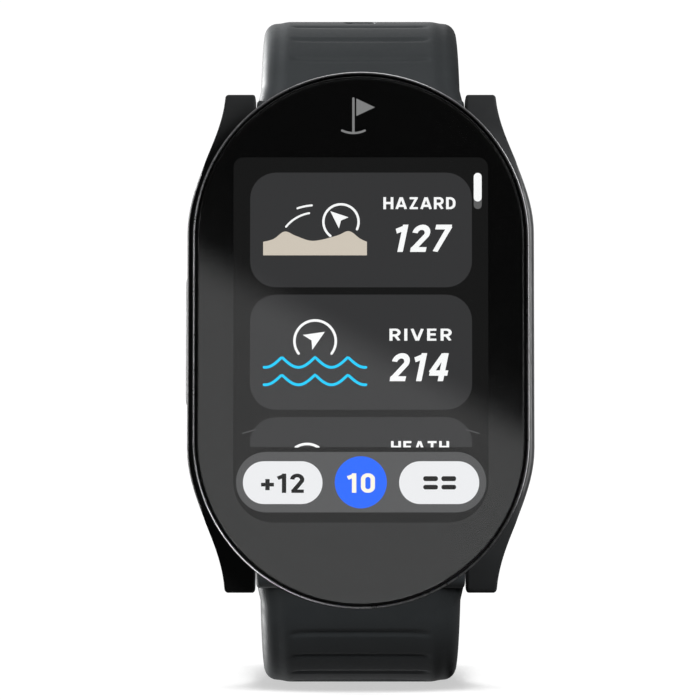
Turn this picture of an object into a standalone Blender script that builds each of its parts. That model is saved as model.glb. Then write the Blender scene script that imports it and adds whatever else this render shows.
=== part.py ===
"""Golf GPS watch: a stadium-shaped touch watch on a two-piece silicone strap.

Metres in the finished scene; +Z towards twelve o'clock, -Y out of the glass, +X to the right.
The origin is the centre of the case back's flat face.  Lengths below are in millimetres, and
a "depth" is the distance in front of the case back's face, so y = -depth.
"""
import math

import bmesh
import bpy
from mathutils import Matrix, Vector

MM = 0.001

# Watch head, in plan
BEZEL_HALF_WIDTH = 17.15
BEZEL_HALF_HEIGHT = 27.4
BEZEL_LINE = 0.28
GLASS_HALF_WIDTH = 16.62
FLANGE_HALF_WIDTH = 15.7
CASE_HALF_WIDTH = 17.8
CASE_STRAIGHT = 11.0
LUG_TIP_X = 14.1
LUG_TIP_Z = 25.9
LUG_INNER_X = 11.0
LUG_GAP_Z = 20.3

# Watch head, in depth
GLASS_FRONT = 12.5
GLASS_BACK = 11.4
BEZEL_FRONT = 12.3
FLANGE_FRONT = 11.0
CASE_FRONT = 10.4
BEZEL_BACK = 10.5
POCKET_DEPTH = 8.9
OVERHANG_BACK = 8.0
OVERHANG = 1.2
RECESS_DEPTH = 2.0
CASE_REAR = 0.9

# Inner space of the case: half width, half height, corner radius
CAVITY = (14.2, 18.2, 9.0)
RECESS = (15.6, 19.2, 5.0)
BACK_PLATE = (15.3, 18.9, 4.7)

# Edges of the bezel and of the glass: (inset from the outline, setback from the front)
BEZEL_BREAK = (0.08, 0.2)
LIP_SETBACK = 0.1
GLASS_EDGE = ((0.0, 0.35), (0.12, 0.12), (0.4, 0.0))
GASKET_INSET = 0.2
GASKET_BACK = 11.1
GASKET_FRONT = 11.3

# Display: the panel, its folded flex as a side view of (depth, z), and the tray
PANEL = (13.3, 19.0, 1.5)
PANEL_BACK = 9.9
PANEL_FRONT = 11.25
FLEX_FOLD = ((10.5, -19.2), (10.5, -19.32), (9.03, -19.32), (9.03, -17.8), (8.8, -17.8),
             (8.8, -17.0), (9.15, -17.0), (9.15, -19.2))
FLEX_HALF_WIDTH = 4.0
TRAY = (14.9, 20.4, 9.0)
TRAY_BACK = 9.0
TRAY_FRONT = 9.7
TRAY_NOTCH = ((-4.6, -10.5, -21.0), (4.6, -8.0, -16.5))

# Spring bars, quick-release pins and the holes that take them
BAR_Y = -3.6
BAR_Z = 23.4
BAR_RADIUS = 0.9
BAR_HALF_LENGTH = 10.4
BAR_BORE = 0.62
BAR_BORE_END = 1.0
BAR_CLEARANCE = 0.3
PIN_START = 3.0
PIN_RADIUS = 0.42
PIN_REACH = 11.9
LUG_HOLE_RADIUS = 0.65
LUG_HOLE_REACH = 12.6
BARREL_RADIUS = 2.1
BARREL_HALF_WIDTH = 10.7
RELEASE_TRAVEL = 1.3
LEVER_X = 7.6
LEVER_RADIUS = 0.36
LEVER_REACH = 2.9
LEVER_ROOT = 0.1
LEVER_CLEARANCE = 0.24
STRAP_SLOT_HALF_WIDTH = 0.75
STRAP_SLOT_DEPTH = 4.0
BAR_SLOT_HALF_WIDTH = 0.6
BAR_SLOT_DEPTH = 2.0

# Strap centreline: a straight end, a crest arc, a straight side and a round back
STRAP_START_ANGLE = 55.0
STRAP_SIDE_ANGLE = -8.0
CREST_RADIUS = 16.5
CREST_Z = 34.95
SIDE_RUN = 20.0
UPPER_LENGTH = 70.0
LOWER_LENGTH = 94.0
STATION_STEP = 2.6

# Strap section: (distance along the strap, value) pairs
STRAP_HALF_WIDTH = ((0.0, 10.7), (2.0, 10.7), (4.2, 10.5), (21.0, 10.4), (44.0, 9.2))
STRAP_HALF_THICKNESS = ((0.0, 1.6), (10.0, 1.25), (44.0, 1.1))
PANEL_HALF_WIDTH = 7.8
PANEL_RAISE = 0.35
PANEL_SLOPE = 0.3
PANEL_MARGIN = 0.9
STRAP_BREAK = 0.6
TIP_TAPER = 8.0
TIP_ROUNDING = 0.97

# Holes through the straps, by distance along the strap
VENT_HOLES = (17.3, 25.3, 33.3)
SIZING_HOLES = (50.0, 56.0, 62.0, 68.0, 74.0, 80.0, 86.0)
HOLE_HALF_WIDTH = 1.65
HOLE_HALF_LENGTH = 1.0
HOLE_REACH = 3.0

# Buckle, in its own frame: X across, Y along the strap, Z out of the loop
BUCKLE_BAR_RADIUS = 0.75
BUCKLE_BAR_SETBACK = 0.1
FRAME_BORE = 0.9
FRAME_BACK = -1.7
FRAME_CORNERS = (2.4, 1.2)
TONGUE_SIDE = ((0.1, 0.9), (0.9, 1.5), (9.2, 2.1), (9.9, 1.9), (9.9, 1.35), (9.0, 1.2),
               (2.4, 0.3), (1.2, -0.3))
TONGUE_EYE = 1.5
TONGUE_BORE = 0.95
NOTCH_DEPTH = 2.8
BUCKLE_BORE = 1.05
BUCKLE_BARREL = 1.7
BUCKLE_LEAN = -8.0
FRAME_OUTER_X = 11.2
FRAME_INNER_X = 9.6
FRAME_INNER_REACH = 8.2
FRAME_REACH = 10.1
FRAME_HALF_THICKNESS = 1.0
TONGUE_HALF_WIDTH = 1.0
NOTCH_HALF_WIDTH = 1.4

# Keepers: half sizes and middles of their outer and inner outlines, in the strap's section
KEEPER_OUTER = (11.0, 3.7, 1.4)
KEEPER_INNER = (9.9, 2.7, 1.3)
KEEPER_LENGTH = 5.0
KEEPER_CORNER = 0.8
FIXED_KEEPER_BACKSET = 5.5
FREE_KEEPER_BACKSET = 15.5

# Side button on the left flank
BUTTON_DEPTH = 6.4
BUTTON_FACE_X = 18.05
BUTTON_BACK_X = 16.85
BUTTON_HALF_LENGTH = 6.85
BUTTON_HALF_HEIGHT = 1.7
BUTTON_GAP = 0.3
BUTTON_BREAK = (0.35, 0.25)
BUTTON_FLOOR_X = 16.0
STEM_RADIUS = 0.75
STEM_END_X = 13.6

# Keeps a stadium's straight sides from vanishing where it stands for a circle
NEARLY = 0.001

# How far a cutter passes the face it cuts through
OVERCUT = 1.5

# What the button presses: the seal and clip on its stem as (radius, x) rings, and the switch
SEAL_SEAT = (1.7, 15.2)
STEM_HOLE = (1.05, 13.5)
BUTTON_SEAL = ((0.95, -15.9), (1.55, -15.9), (1.55, -15.4), (0.95, -15.4))
BUTTON_CLIP = ((0.85, -14.1), (1.5, -14.1), (1.5, -13.85), (0.85, -13.85))
SWITCH_BODY = ((-12.9, -7.75, -2.2), (-11.0, -5.1, 2.2))
SWITCH_BORE = ((0.75, -13.5), (0.75, -11.3))
PLUNGER = ((0.5, -13.5), (0.5, -12.0))
PLUNGER_FACE_X = -13.5

# Case back and its gasket: (inset, depth) of the cover's edge, then outlines
BACK_EDGE = ((0.0, 1.6), (0.0, 0.4), (0.3, 0.0))
BACK_GASKET_OUTER = (14.6, 18.6, 9.1)
BACK_GASKET_INNER = (14.3, 18.3, 8.8)
BACK_GASKET_DEPTHS = (1.7, 1.9)

# Screws, their bores and their wells: (x, z) of one, then (radius, depth) profiles
BACK_SCREW = (12.6, 16.6)
BACK_SCREW_PROFILE = ((0.4, 0.5), (0.4, 0.1), (1.0, 0.1), (1.0, 0.75), (0.55, 0.75), (0.55, 5.0))
BACK_SCREW_BORE = ((0.8, 1.5), (0.8, 6.5))
BACK_SCREW_WELL = ((1.25, -0.5), (1.25, 1.0), (0.8, 1.0), (0.8, 2.0))
TRAY_SCREW = (6.0, 19.25)
TRAY_SCREW_PROFILE = ((0.3, 9.4), (0.3, 9.75), (0.9, 9.75), (0.9, 9.35), (0.42, 9.35), (0.42, 6.5))
TRAY_SCREW_BORE = ((0.65, 5.0), (0.65, 9.5))
TRAY_SCREW_WELL = ((0.65, 8.5), (0.65, 9.25), (1.15, 9.25), (1.15, 10.5))

# Charging contacts
CONTACT_X = (-4.5, -1.5, 1.5, 4.5)
CONTACT_Z = -13.2
CONTACT_PROFILE = ((0.9, 0.1), (0.9, 2.0))
CONTACT_HOLE = ((1.15, -0.5), (1.15, 2.0))

# Main board: half sizes and corner radius, back and front depths
BOARD = (13.4, 17.4, 8.5)
BOARD_BACK = 7.9
BOARD_FRONT = 8.7

# Flat electronic parts: half sizes and corner radius, middle, back and front depths, finish
FLAT_PARTS = {
    "processor_shield": ((6.5, 6.0, 0.4), (-4.0, 8.0), 6.5, 7.8, "shield_tin"),
    "gps_receiver": ((3.6, 3.6, 0.4), (7.5, 9.0), 6.7, 7.8, "shield_tin"),
    "memory_chip": ((3.0, 4.0, 0.4), (6.5, -1.0), 6.9, 7.8, "chip_resin"),
    "radio_module": ((4.0, 3.0, 0.4), (-4.0, -3.0), 6.7, 7.8, "chip_resin"),
    "gps_antenna": ((5.2, 1.9, 0.5), (0.0, 22.7), 9.0, 10.2, "antenna_ceramic"),
    "battery": ((10.3, 12.5, 1.2), (0.0, 3.4), 2.7, 6.2, "battery_foil"),
    "battery_pad": ((8.5, 10.5, 1.0), (0.0, 3.4), 1.75, 2.55, "pad_foam"),
    "charging_flex": ((6.5, 1.6, 0.5), (0.0, CONTACT_Z), 2.1, 2.25, "flex_polyimide"),
}

# Round electronic parts: radius, middle, back and front depths, finish
ROUND_PARTS = {
    "haptic_motor": (4.0, (-5.2, -13.6), 5.2, 7.7, "shield_tin"),
    "buzzer": (3.6, (4.8, -13.4), 6.6, 7.7, "contact_gold"),
}
BATTERY_TAB = ((-2.0, -7.75, -9.45), (2.0, -4.6, -9.25))


# ---------------------------------------------------------------- materials

def material(name, colour, roughness, metallic):
    """A Principled material."""
    made = bpy.data.materials.new(name)
    made.use_nodes = True
    shader = made.node_tree.nodes["Principled BSDF"]
    shader.inputs["Base Color"].default_value = (*colour, 1.0)
    shader.inputs["Roughness"].default_value = roughness
    shader.inputs["Metallic"].default_value = metallic
    made.diffuse_color = (*colour, 1.0)
    return made


FINISHES = {
    "case_polymer": ((0.018, 0.019, 0.020), 0.55, 0.0),
    "button_polymer": ((0.022, 0.023, 0.024), 0.45, 0.0),
    "strap_silicone": ((0.035, 0.039, 0.042), 0.62, 0.0),
    "seal_rubber": ((0.010, 0.010, 0.010), 0.8, 0.0),
    "cover_glass": ((0.010, 0.010, 0.010), 0.05, 0.0),
    "bezel_metal": ((0.110, 0.110, 0.115), 0.25, 1.0),
    "buckle_metal": ((0.120, 0.120, 0.125), 0.3, 1.0),
    "bar_steel": ((0.600, 0.600, 0.590), 0.25, 1.0),
    "screw_steel": ((0.300, 0.300, 0.300), 0.3, 1.0),
    "contact_gold": ((0.800, 0.560, 0.200), 0.25, 1.0),
    "shield_tin": ((0.620, 0.620, 0.600), 0.35, 1.0),
    "display_face": ((0.015, 0.015, 0.016), 0.2, 0.0),
    "board_laminate": ((0.010, 0.090, 0.040), 0.5, 0.0),
    "chip_resin": ((0.015, 0.015, 0.016), 0.5, 0.0),
    "flex_polyimide": ((0.450, 0.200, 0.030), 0.4, 0.0),
    "battery_foil": ((0.420, 0.430, 0.450), 0.35, 0.8),
    "antenna_ceramic": ((0.700, 0.620, 0.480), 0.45, 0.0),
    "tray_magnesium": ((0.250, 0.250, 0.260), 0.45, 0.9),
    "pad_foam": ((0.060, 0.060, 0.065), 0.9, 0.0),
}


# ---------------------------------------------------------------- outlines

def arc(cx, cz, radius, start, end, steps):
    """Points of an arc, degrees from +X."""
    angles = [math.radians(start + (end - start) * i / steps) for i in range(steps + 1)]
    return [(cx + radius * math.cos(a), cz + radius * math.sin(a)) for a in angles]


def stadium(half_width, half_height, steps=18):
    """A tall outline with round ends, of half_width radius."""
    straight = half_height - half_width
    return (arc(0.0, straight, half_width, 0, 180, steps)
            + arc(0.0, -straight, half_width, 180, 360, steps))


def bezel_stadium(half_width, steps=18):
    """The bezel's outline, offset so that its half width is half_width."""
    return stadium(half_width, BEZEL_HALF_HEIGHT - BEZEL_HALF_WIDTH + half_width, steps)


def rounded_rect(half_x, half_z, radius, steps=3, cx=0.0, cz=0.0):
    """A rectangle with round corners."""
    points = []
    for quarter, (sx, sz) in enumerate(((1, 1), (-1, 1), (-1, -1), (1, -1))):
        points += arc(cx + sx * (half_x - radius), cz + sz * (half_z - radius), radius,
                      90 * quarter, 90 * quarter + 90, steps)
    return points


def circle(radius, steps, cx=0.0, cz=0.0):
    """A circle's points, without a repeated end."""
    return arc(cx, cz, radius, 0, 360, steps)[:-1]


def mirror_four(quarter):
    """A closed outline from its first quadrant, listed from +X towards +Z."""
    left = [(-x, z) for x, z in reversed(quarter)]
    lower = [(x, -z) for x, z in reversed(quarter)]
    return quarter + left + [(-x, -z) for x, z in quarter] + lower


def case_outline(steps=8):
    """Plan of the mid-case: parallel flanks that ease in to four lugs."""
    flank = []
    for i in range(steps + 1):
        u = i / steps
        ease = (1.0 - math.cos(math.pi * u)) / 2.0
        x = CASE_HALF_WIDTH - (CASE_HALF_WIDTH - LUG_TIP_X) * ease
        flank.append((x, CASE_STRAIGHT + (LUG_TIP_Z - CASE_STRAIGHT) * u))
    return mirror_four(flank + [(LUG_INNER_X, LUG_TIP_Z), (LUG_INNER_X, LUG_GAP_Z)])


def case_profile():
    """Side view of the mid-case, as (depth, z): the lugs fall away to blunt tips."""
    upper = [(CASE_FRONT, 15.5), (10.0, 18.5), (8.6, 22.0), (6.6, 25.1), (5.4, LUG_TIP_Z),
             (2.4, LUG_TIP_Z), (1.5, 25.5), (CASE_REAR, 24.4)]
    return upper + [(d, -z) for d, z in reversed(upper)]


# ---------------------------------------------------------------- solids

def loft(loops, ring=False):
    """Bridge loops of equal length; cap the two ends, or join last to first for a ring."""
    mesh = bmesh.new()
    rows = [[mesh.verts.new(point) for point in loop] for loop in loops]
    pairs = list(zip(rows, rows[1:]))
    if ring:
        pairs.append((rows[-1], rows[0]))
    else:
        mesh.faces.new(rows[0])
        mesh.faces.new(rows[-1])
    for low, high in pairs:
        for i, vertex in enumerate(low):
            j = (i + 1) % len(low)
            mesh.faces.new((vertex, low[j], high[j], high[i]))
    bmesh.ops.recalc_face_normals(mesh, faces=mesh.faces)
    return mesh


def at_depth(outline, depth):
    """A plan outline (x, z) placed at a depth."""
    return [(x, -depth, z) for x, z in outline]


def plate(outline, back, front):
    """A plan outline extruded between two depths."""
    return loft([at_depth(outline, back), at_depth(outline, front)])


def side_extrusion(profile, x_low, x_high):
    """A side view (depth, z) extruded along X."""
    return loft([[(x, -d, z) for d, z in profile] for x in (x_low, x_high)])


def ring_stack(layers):
    """A closed band from (outline, depth) layers taken round its section."""
    return loft([at_depth(outline, depth) for outline, depth in layers], ring=True)


def turned_in_depth(profile, cx, cz, steps=12, ring=False):
    """(radius, depth) pairs turned about an axis along Y."""
    return loft([at_depth(circle(r, steps, cx, cz), d) for r, d in profile], ring)


def turned_across(profile, y, z, steps=12, ring=False):
    """(radius, x) pairs turned about an axis along X."""
    return loft([[(x, y + a, z + b) for a, b in circle(r, steps)] for r, x in profile], ring)


def box(low, high):
    """An axis-aligned block."""
    (x0, y0, z0), (x1, y1, z1) = low, high
    return loft([[(x, y0, z0), (x, y1, z0), (x, y1, z1), (x, y0, z1)] for x in (x0, x1)])


def join(parts):
    """One mesh of several separate bodies."""
    whole = parts[0]
    for part in parts[1:]:
        spare = bpy.data.meshes.new("spare")
        part.to_mesh(spare)
        whole.from_mesh(spare)
        bpy.data.meshes.remove(spare)
        part.free()
    return whole


# ---------------------------------------------------------------- objects

def make(name, mesh, finish=None, origin=(0.0, 0.0, 0.0), tilt=0.0):
    """An object in metres; its mesh is drawn in the world, and origin goes on its axis."""
    place = Matrix.Translation(Vector(origin)) @ Matrix.Rotation(math.radians(tilt), 4, "X")
    mesh.transform(Matrix.Scale(MM, 4) @ place.inverted())
    data = bpy.data.meshes.new(name)
    mesh.to_mesh(data)
    mesh.free()
    data.shade_smooth()
    data.set_sharp_from_angle(angle=math.radians(35.0))
    made = bpy.data.objects.new(name, data)
    bpy.context.scene.collection.objects.link(made)
    made.location = Vector(origin) * MM
    made.rotation_euler = (math.radians(tilt), 0.0, 0.0)
    if finish:
        colour, roughness, metallic = FINISHES[finish]
        data.materials.append(material(name, colour, roughness, metallic))
    return made


def combine(target, operation, mesh, label):
    """A Boolean on target with a hidden tool."""
    tool = make(f"{target.name}_{label}", mesh)
    tool.hide_render = True
    tool.hide_set(True)
    tool.display_type = "WIRE"
    step = target.modifiers.new(label, "BOOLEAN")
    step.operation = operation
    step.object = tool
    step.solver = "EXACT"


# ---------------------------------------------------------------- strap centreline

def strap_runs():
    """(length, radius) runs of the centreline; radius None is straight."""
    start = math.radians(STRAP_START_ANGLE)
    turn = math.radians(STRAP_START_ANGLE - STRAP_SIDE_ANGLE)
    end_run = (CREST_Z - BAR_Z - CREST_RADIUS * (1.0 - math.cos(start))) / math.sin(start)
    side = math.radians(STRAP_SIDE_ANGLE)
    back_z = CREST_Z - CREST_RADIUS * (1.0 - math.cos(side)) + SIDE_RUN * math.sin(side)
    back_radius = back_z / math.cos(side)
    return ((end_run, None), (CREST_RADIUS * turn, CREST_RADIUS), (SIDE_RUN, None),
            (math.inf, back_radius))


def strap_at(distance):
    """(y, z, heading in degrees) on the upper strap's centreline."""
    y, z, heading = BAR_Y, BAR_Z, math.radians(STRAP_START_ANGLE)
    left = distance
    for length, radius in strap_runs():
        run = min(left, length)
        left -= run
        if radius is None:
            y += run * math.cos(heading)
            z += run * math.sin(heading)
            continue
        turned = heading - run / radius
        y += radius * (math.sin(heading) - math.sin(turned))
        z += radius * (math.cos(turned) - math.cos(heading))
        heading = turned
    return y, z, math.degrees(heading)


def back_arc():
    """Start distance, centre y and radius of the strap's round back, whose centre is at z = 0."""
    runs = strap_runs()
    start = sum(length for length, radius in runs[:3])
    y, z, heading = strap_at(start)
    radius = runs[3][1]
    return start, y + radius * math.sin(math.radians(heading)), radius


def interpolate(pairs, distance):
    """Piecewise linear value that stays level past both ends."""
    for (d0, v0), (d1, v1) in zip(pairs, pairs[1:]):
        if distance <= d1:
            return v0 + (v1 - v0) * max(0.0, distance - d0) / (d1 - d0)
    return pairs[-1][1]


def strap_frame(distance, side):
    """Matrix of the strap's own frame: X across, Y along it, Z out of the loop."""
    y, z, heading = strap_at(distance)
    place = Matrix.Translation((0.0, y, z)) @ Matrix.Rotation(math.radians(heading), 4, "X")
    return Matrix.Scale(side, 4, (0.0, 0.0, 1.0)) @ place


def placed(mesh, frame):
    """Move a mesh drawn in a strap frame into the world."""
    mesh.transform(frame)
    mesh.normal_update()
    bmesh.ops.recalc_face_normals(mesh, faces=mesh.faces)
    return mesh


# ---------------------------------------------------------------- watch head

def mid_case():
    """Polymer shell with four lugs, a display pocket, an inner space and the button's slot."""
    shell = make("mid_case", plate(case_outline(), -OVERCUT, CASE_FRONT + OVERCUT), "case_polymer")
    reach = CASE_HALF_WIDTH + OVERCUT
    combine(shell, "INTERSECT", side_extrusion(case_profile(), -reach, reach), "side_view")
    rim = [at_depth(bezel_stadium(BEZEL_HALF_WIDTH - inset), depth)
           for inset, depth in ((OVERHANG, OVERHANG_BACK), (0.0, OVERHANG_BACK + 1.0), (0.0, CASE_FRONT))]
    combine(shell, "UNION", loft(rim), "bezel_seat")
    pocket = plate(bezel_stadium(FLANGE_HALF_WIDTH), POCKET_DEPTH, CASE_FRONT + OVERCUT)
    combine(shell, "DIFFERENCE", pocket, "pocket")
    cavity = plate(rounded_rect(*CAVITY, steps=5), -OVERCUT, CASE_FRONT + OVERCUT)
    combine(shell, "DIFFERENCE", cavity, "cavity")
    recess = plate(rounded_rect(*RECESS, steps=4), -OVERCUT, RECESS_DEPTH)
    combine(shell, "DIFFERENCE", recess, "recess")
    combine(shell, "DIFFERENCE", join(case_bores()), "bores")
    combine(shell, "DIFFERENCE", button_slot(), "button_slot")


def case_bores():
    """Cutters for the lug holes and for both sets of screws."""
    bores = []
    for side in (1, -1):
        lug_hole = [(LUG_HOLE_RADIUS, -LUG_HOLE_REACH), (LUG_HOLE_RADIUS, LUG_HOLE_REACH)]
        bores.append(turned_across(lug_hole, BAR_Y, side * BAR_Z))
        for flank in (1, -1):
            x, z = BACK_SCREW
            bores.append(turned_in_depth(BACK_SCREW_BORE, flank * x, side * z, 10))
            x, z = TRAY_SCREW
            bores.append(turned_in_depth(TRAY_SCREW_BORE, flank * x, side * z, 10))
    return bores


def button_outline(half_length, half_height, steps=6):
    """The side button's outline as (y, z) points."""
    upright = stadium(half_height, half_length, steps)
    return [(y - BUTTON_DEPTH, z) for y, z in upright]


def button_slot():
    """Stepped cutter for the button's recess, its seal seat and its stem hole."""
    seat_radius, seat_x = SEAL_SEAT
    hole_radius, hole_x = STEM_HOLE
    layers = [(BUTTON_HALF_LENGTH + BUTTON_GAP, BUTTON_HALF_HEIGHT + BUTTON_GAP, CASE_HALF_WIDTH + OVERCUT),
              (BUTTON_HALF_LENGTH + BUTTON_GAP, BUTTON_HALF_HEIGHT + BUTTON_GAP, BUTTON_FLOOR_X),
              (seat_radius, seat_radius - NEARLY, BUTTON_FLOOR_X),
              (seat_radius, seat_radius - NEARLY, seat_x),
              (hole_radius, hole_radius - NEARLY, seat_x),
              (hole_radius, hole_radius - NEARLY, hole_x)]
    return loft([[(-x, y, z) for y, z in button_outline(length, height)] for length, height, x in layers])


def bezel_ring():
    """Metal ring with a bright chamfered lip and a flange that carries the glass."""
    lip = BEZEL_HALF_WIDTH - BEZEL_LINE
    inset, setback = BEZEL_BREAK
    layers = [(BEZEL_HALF_WIDTH, BEZEL_BACK), (BEZEL_HALF_WIDTH, BEZEL_FRONT - setback),
              (BEZEL_HALF_WIDTH - inset, BEZEL_FRONT), (lip, BEZEL_FRONT - LIP_SETBACK),
              (lip, FLANGE_FRONT), (FLANGE_HALF_WIDTH, FLANGE_FRONT), (FLANGE_HALF_WIDTH, BEZEL_BACK)]
    make("bezel_ring", ring_stack([(bezel_stadium(w), d) for w, d in layers]), "bezel_metal")


def cover_glass():
    """Cover glass with a softly broken edge, and the adhesive gasket under it."""
    layers = [(0.0, GLASS_BACK)] + [(inset, GLASS_FRONT - setback) for inset, setback in GLASS_EDGE]
    loops = [at_depth(bezel_stadium(GLASS_HALF_WIDTH - inset), depth) for inset, depth in layers]
    make("cover_glass", loft(loops), "cover_glass")
    outer = bezel_stadium(GLASS_HALF_WIDTH - GASKET_INSET, 12)
    inner = bezel_stadium(FLANGE_HALF_WIDTH + GASKET_INSET, 12)
    gasket = [(outer, GASKET_BACK), (outer, GASKET_FRONT), (inner, GASKET_FRONT), (inner, GASKET_BACK)]
    make("glass_gasket", ring_stack(gasket), "seal_rubber")


def display():
    """Display panel, its folded flex and the tray that carries them."""
    make("display_panel", plate(rounded_rect(*PANEL), PANEL_BACK, PANEL_FRONT), "display_face")
    flex = side_extrusion(FLEX_FOLD, -FLEX_HALF_WIDTH, FLEX_HALF_WIDTH)
    make("display_flex", flex, "flex_polyimide")
    tray = make("display_tray", plate(rounded_rect(*TRAY, 5), TRAY_BACK, TRAY_FRONT), "tray_magnesium")
    cuts = [box(*TRAY_NOTCH)]
    x, z = TRAY_SCREW
    for flank in (1, -1):
        for side in (1, -1):
            cuts.append(turned_in_depth(TRAY_SCREW_WELL, flank * x, side * z, 10))
    combine(tray, "DIFFERENCE", join(cuts), "openings")


def screw(name, x, z, profile):
    """A small screw with a round drive recess, from (radius, depth) pairs."""
    make(name, turned_in_depth(profile, x, z, 10), "screw_steel")


def screws():
    """Four tray screws driven from the front and four case-back screws driven from the rear."""
    corners = [(1, 1), (-1, 1), (-1, -1), (1, -1)]
    for number, (flank, side) in enumerate(corners, start=1):
        x, z = TRAY_SCREW
        screw(f"tray_screw_{number}", flank * x, side * z, TRAY_SCREW_PROFILE)
        x, z = BACK_SCREW
        screw(f"back_screw_{number}", flank * x, side * z, BACK_SCREW_PROFILE)


def case_back():
    """Rear cover with its screw and contact holes, and the gasket under its rim."""
    half_x, half_z, radius = BACK_PLATE
    loops = [at_depth(rounded_rect(half_x - inset, half_z - inset, radius - inset, 5), depth)
             for inset, depth in BACK_EDGE]
    cover = make("case_back", loft(loops), "case_polymer")
    x, z = BACK_SCREW
    cuts = [turned_in_depth(BACK_SCREW_WELL, flank * x, side * z, 10)
            for flank in (1, -1) for side in (1, -1)]
    cuts += [turned_in_depth(CONTACT_HOLE, x, CONTACT_Z, 12) for x in CONTACT_X]
    combine(cover, "DIFFERENCE", join(cuts), "holes")
    outer = rounded_rect(*BACK_GASKET_OUTER, 5)
    inner = rounded_rect(*BACK_GASKET_INNER, 5)
    back, front = BACK_GASKET_DEPTHS
    gasket = ring_stack([(outer, back), (outer, front), (inner, front), (inner, back)])
    make("back_gasket", gasket, "seal_rubber")


def electronics():
    """Board with its chips, antenna, motor, buzzer, battery and charging contacts."""
    make("main_board", plate(rounded_rect(*BOARD, 5), BOARD_BACK, BOARD_FRONT), "board_laminate")
    for name, (size, (cx, cz), back, front, finish) in FLAT_PARTS.items():
        half_x, half_z, radius = size
        make(name, plate(rounded_rect(half_x, half_z, radius, 2, cx, cz), back, front), finish)
    for name, (radius, (cx, cz), back, front, finish) in ROUND_PARTS.items():
        make(name, turned_in_depth([(radius, back), (radius, front)], cx, cz, 20), finish)
    make("battery_tab", box(*BATTERY_TAB), "flex_polyimide")
    for number, x in enumerate(CONTACT_X, start=1):
        contact = turned_in_depth(CONTACT_PROFILE, x, CONTACT_Z)
        make(f"charging_contact_{number}", contact, "contact_gold")


def side_button():
    """Button cap with its stem, seal, clip and the switch that it presses."""
    loops = []
    inset, setback = BUTTON_BREAK
    for length, height, x in ((BUTTON_HALF_LENGTH - inset, BUTTON_HALF_HEIGHT - inset, BUTTON_FACE_X),
                              (BUTTON_HALF_LENGTH, BUTTON_HALF_HEIGHT, BUTTON_FACE_X - setback),
                              (BUTTON_HALF_LENGTH, BUTTON_HALF_HEIGHT, BUTTON_BACK_X),
                              (STEM_RADIUS, STEM_RADIUS - NEARLY, BUTTON_BACK_X),
                              (STEM_RADIUS, STEM_RADIUS - NEARLY, STEM_END_X)):
        loops.append([(-x, y, z) for y, z in button_outline(length, height)])
    rest = (-BUTTON_FACE_X, -BUTTON_DEPTH, 0.0)
    make("side_button", loft(loops), "button_polymer", rest)
    make("button_seal", turned_across(BUTTON_SEAL, -BUTTON_DEPTH, 0.0, 16, ring=True), "seal_rubber")
    make("button_clip", turned_across(BUTTON_CLIP, -BUTTON_DEPTH, 0.0, 16, ring=True), "bar_steel", rest)
    switch = make("side_switch", box(*SWITCH_BODY), "chip_resin")
    combine(switch, "DIFFERENCE", turned_across(SWITCH_BORE, -BUTTON_DEPTH, 0.0), "bore")
    plunger = turned_across(PLUNGER, -BUTTON_DEPTH, 0.0)
    make("switch_plunger", plunger, "bar_steel", (PLUNGER_FACE_X, -BUTTON_DEPTH, 0.0))


# ---------------------------------------------------------------- strap

def strap_section(distance, length):
    """Strap section in its own frame: a raised middle panel and broken edges."""
    half = interpolate(STRAP_HALF_WIDTH, distance)
    thick = interpolate(STRAP_HALF_THICKNESS, distance)
    if length == LOWER_LENGTH:
        past = max(0.0, distance - (length - TIP_TAPER)) / TIP_TAPER
        half *= math.sqrt(1.0 - TIP_ROUNDING * past * past)
    panel = min(PANEL_HALF_WIDTH, half - PANEL_MARGIN)
    edge = thick - PANEL_RAISE
    outer = [(-half, edge - STRAP_BREAK), (-half + STRAP_BREAK, edge), (-panel, edge),
             (-panel + PANEL_SLOPE, thick)]
    inner = [(half, STRAP_BREAK - thick), (half - STRAP_BREAK, -thick)]
    return (outer + [(-x, n) for x, n in reversed(outer)]
            + inner + [(-x, n) for x, n in reversed(inner)])


def strap_band(length, side):
    """The band without its end barrels, in the world."""
    count = math.ceil(length / STATION_STEP)
    loops = []
    for i in range(count + 1):
        distance = length * i / count
        frame = strap_frame(distance, side)
        section = strap_section(distance, length)
        loops.append([frame @ Vector((x, 0.0, n)) for x, n in section])
    return loft(loops)


def oblong_holes(distances, side):
    """Cutters for a row of oblong holes across the strap."""
    cutters = []
    for distance in distances:
        outline = rounded_rect(HOLE_HALF_WIDTH, HOLE_HALF_LENGTH, HOLE_HALF_LENGTH - NEARLY, 3)
        cutter = loft([[(x, t, n) for x, t in outline] for n in (-HOLE_REACH, HOLE_REACH)])
        cutters.append(placed(cutter, strap_frame(distance, side)))
    return cutters


def lever_slot(side, half_width, near, far):
    """Cutter for the release lever's slot, from inside the bar out on the wrist side."""
    left = LEVER_X - LEVER_RADIUS - RELEASE_TRAVEL - LEVER_CLEARANCE
    right = LEVER_X + LEVER_RADIUS + LEVER_CLEARANCE
    slot = box((left, -half_width, -far), (right, half_width, near))
    return placed(slot, strap_frame(0.0, side))


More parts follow.
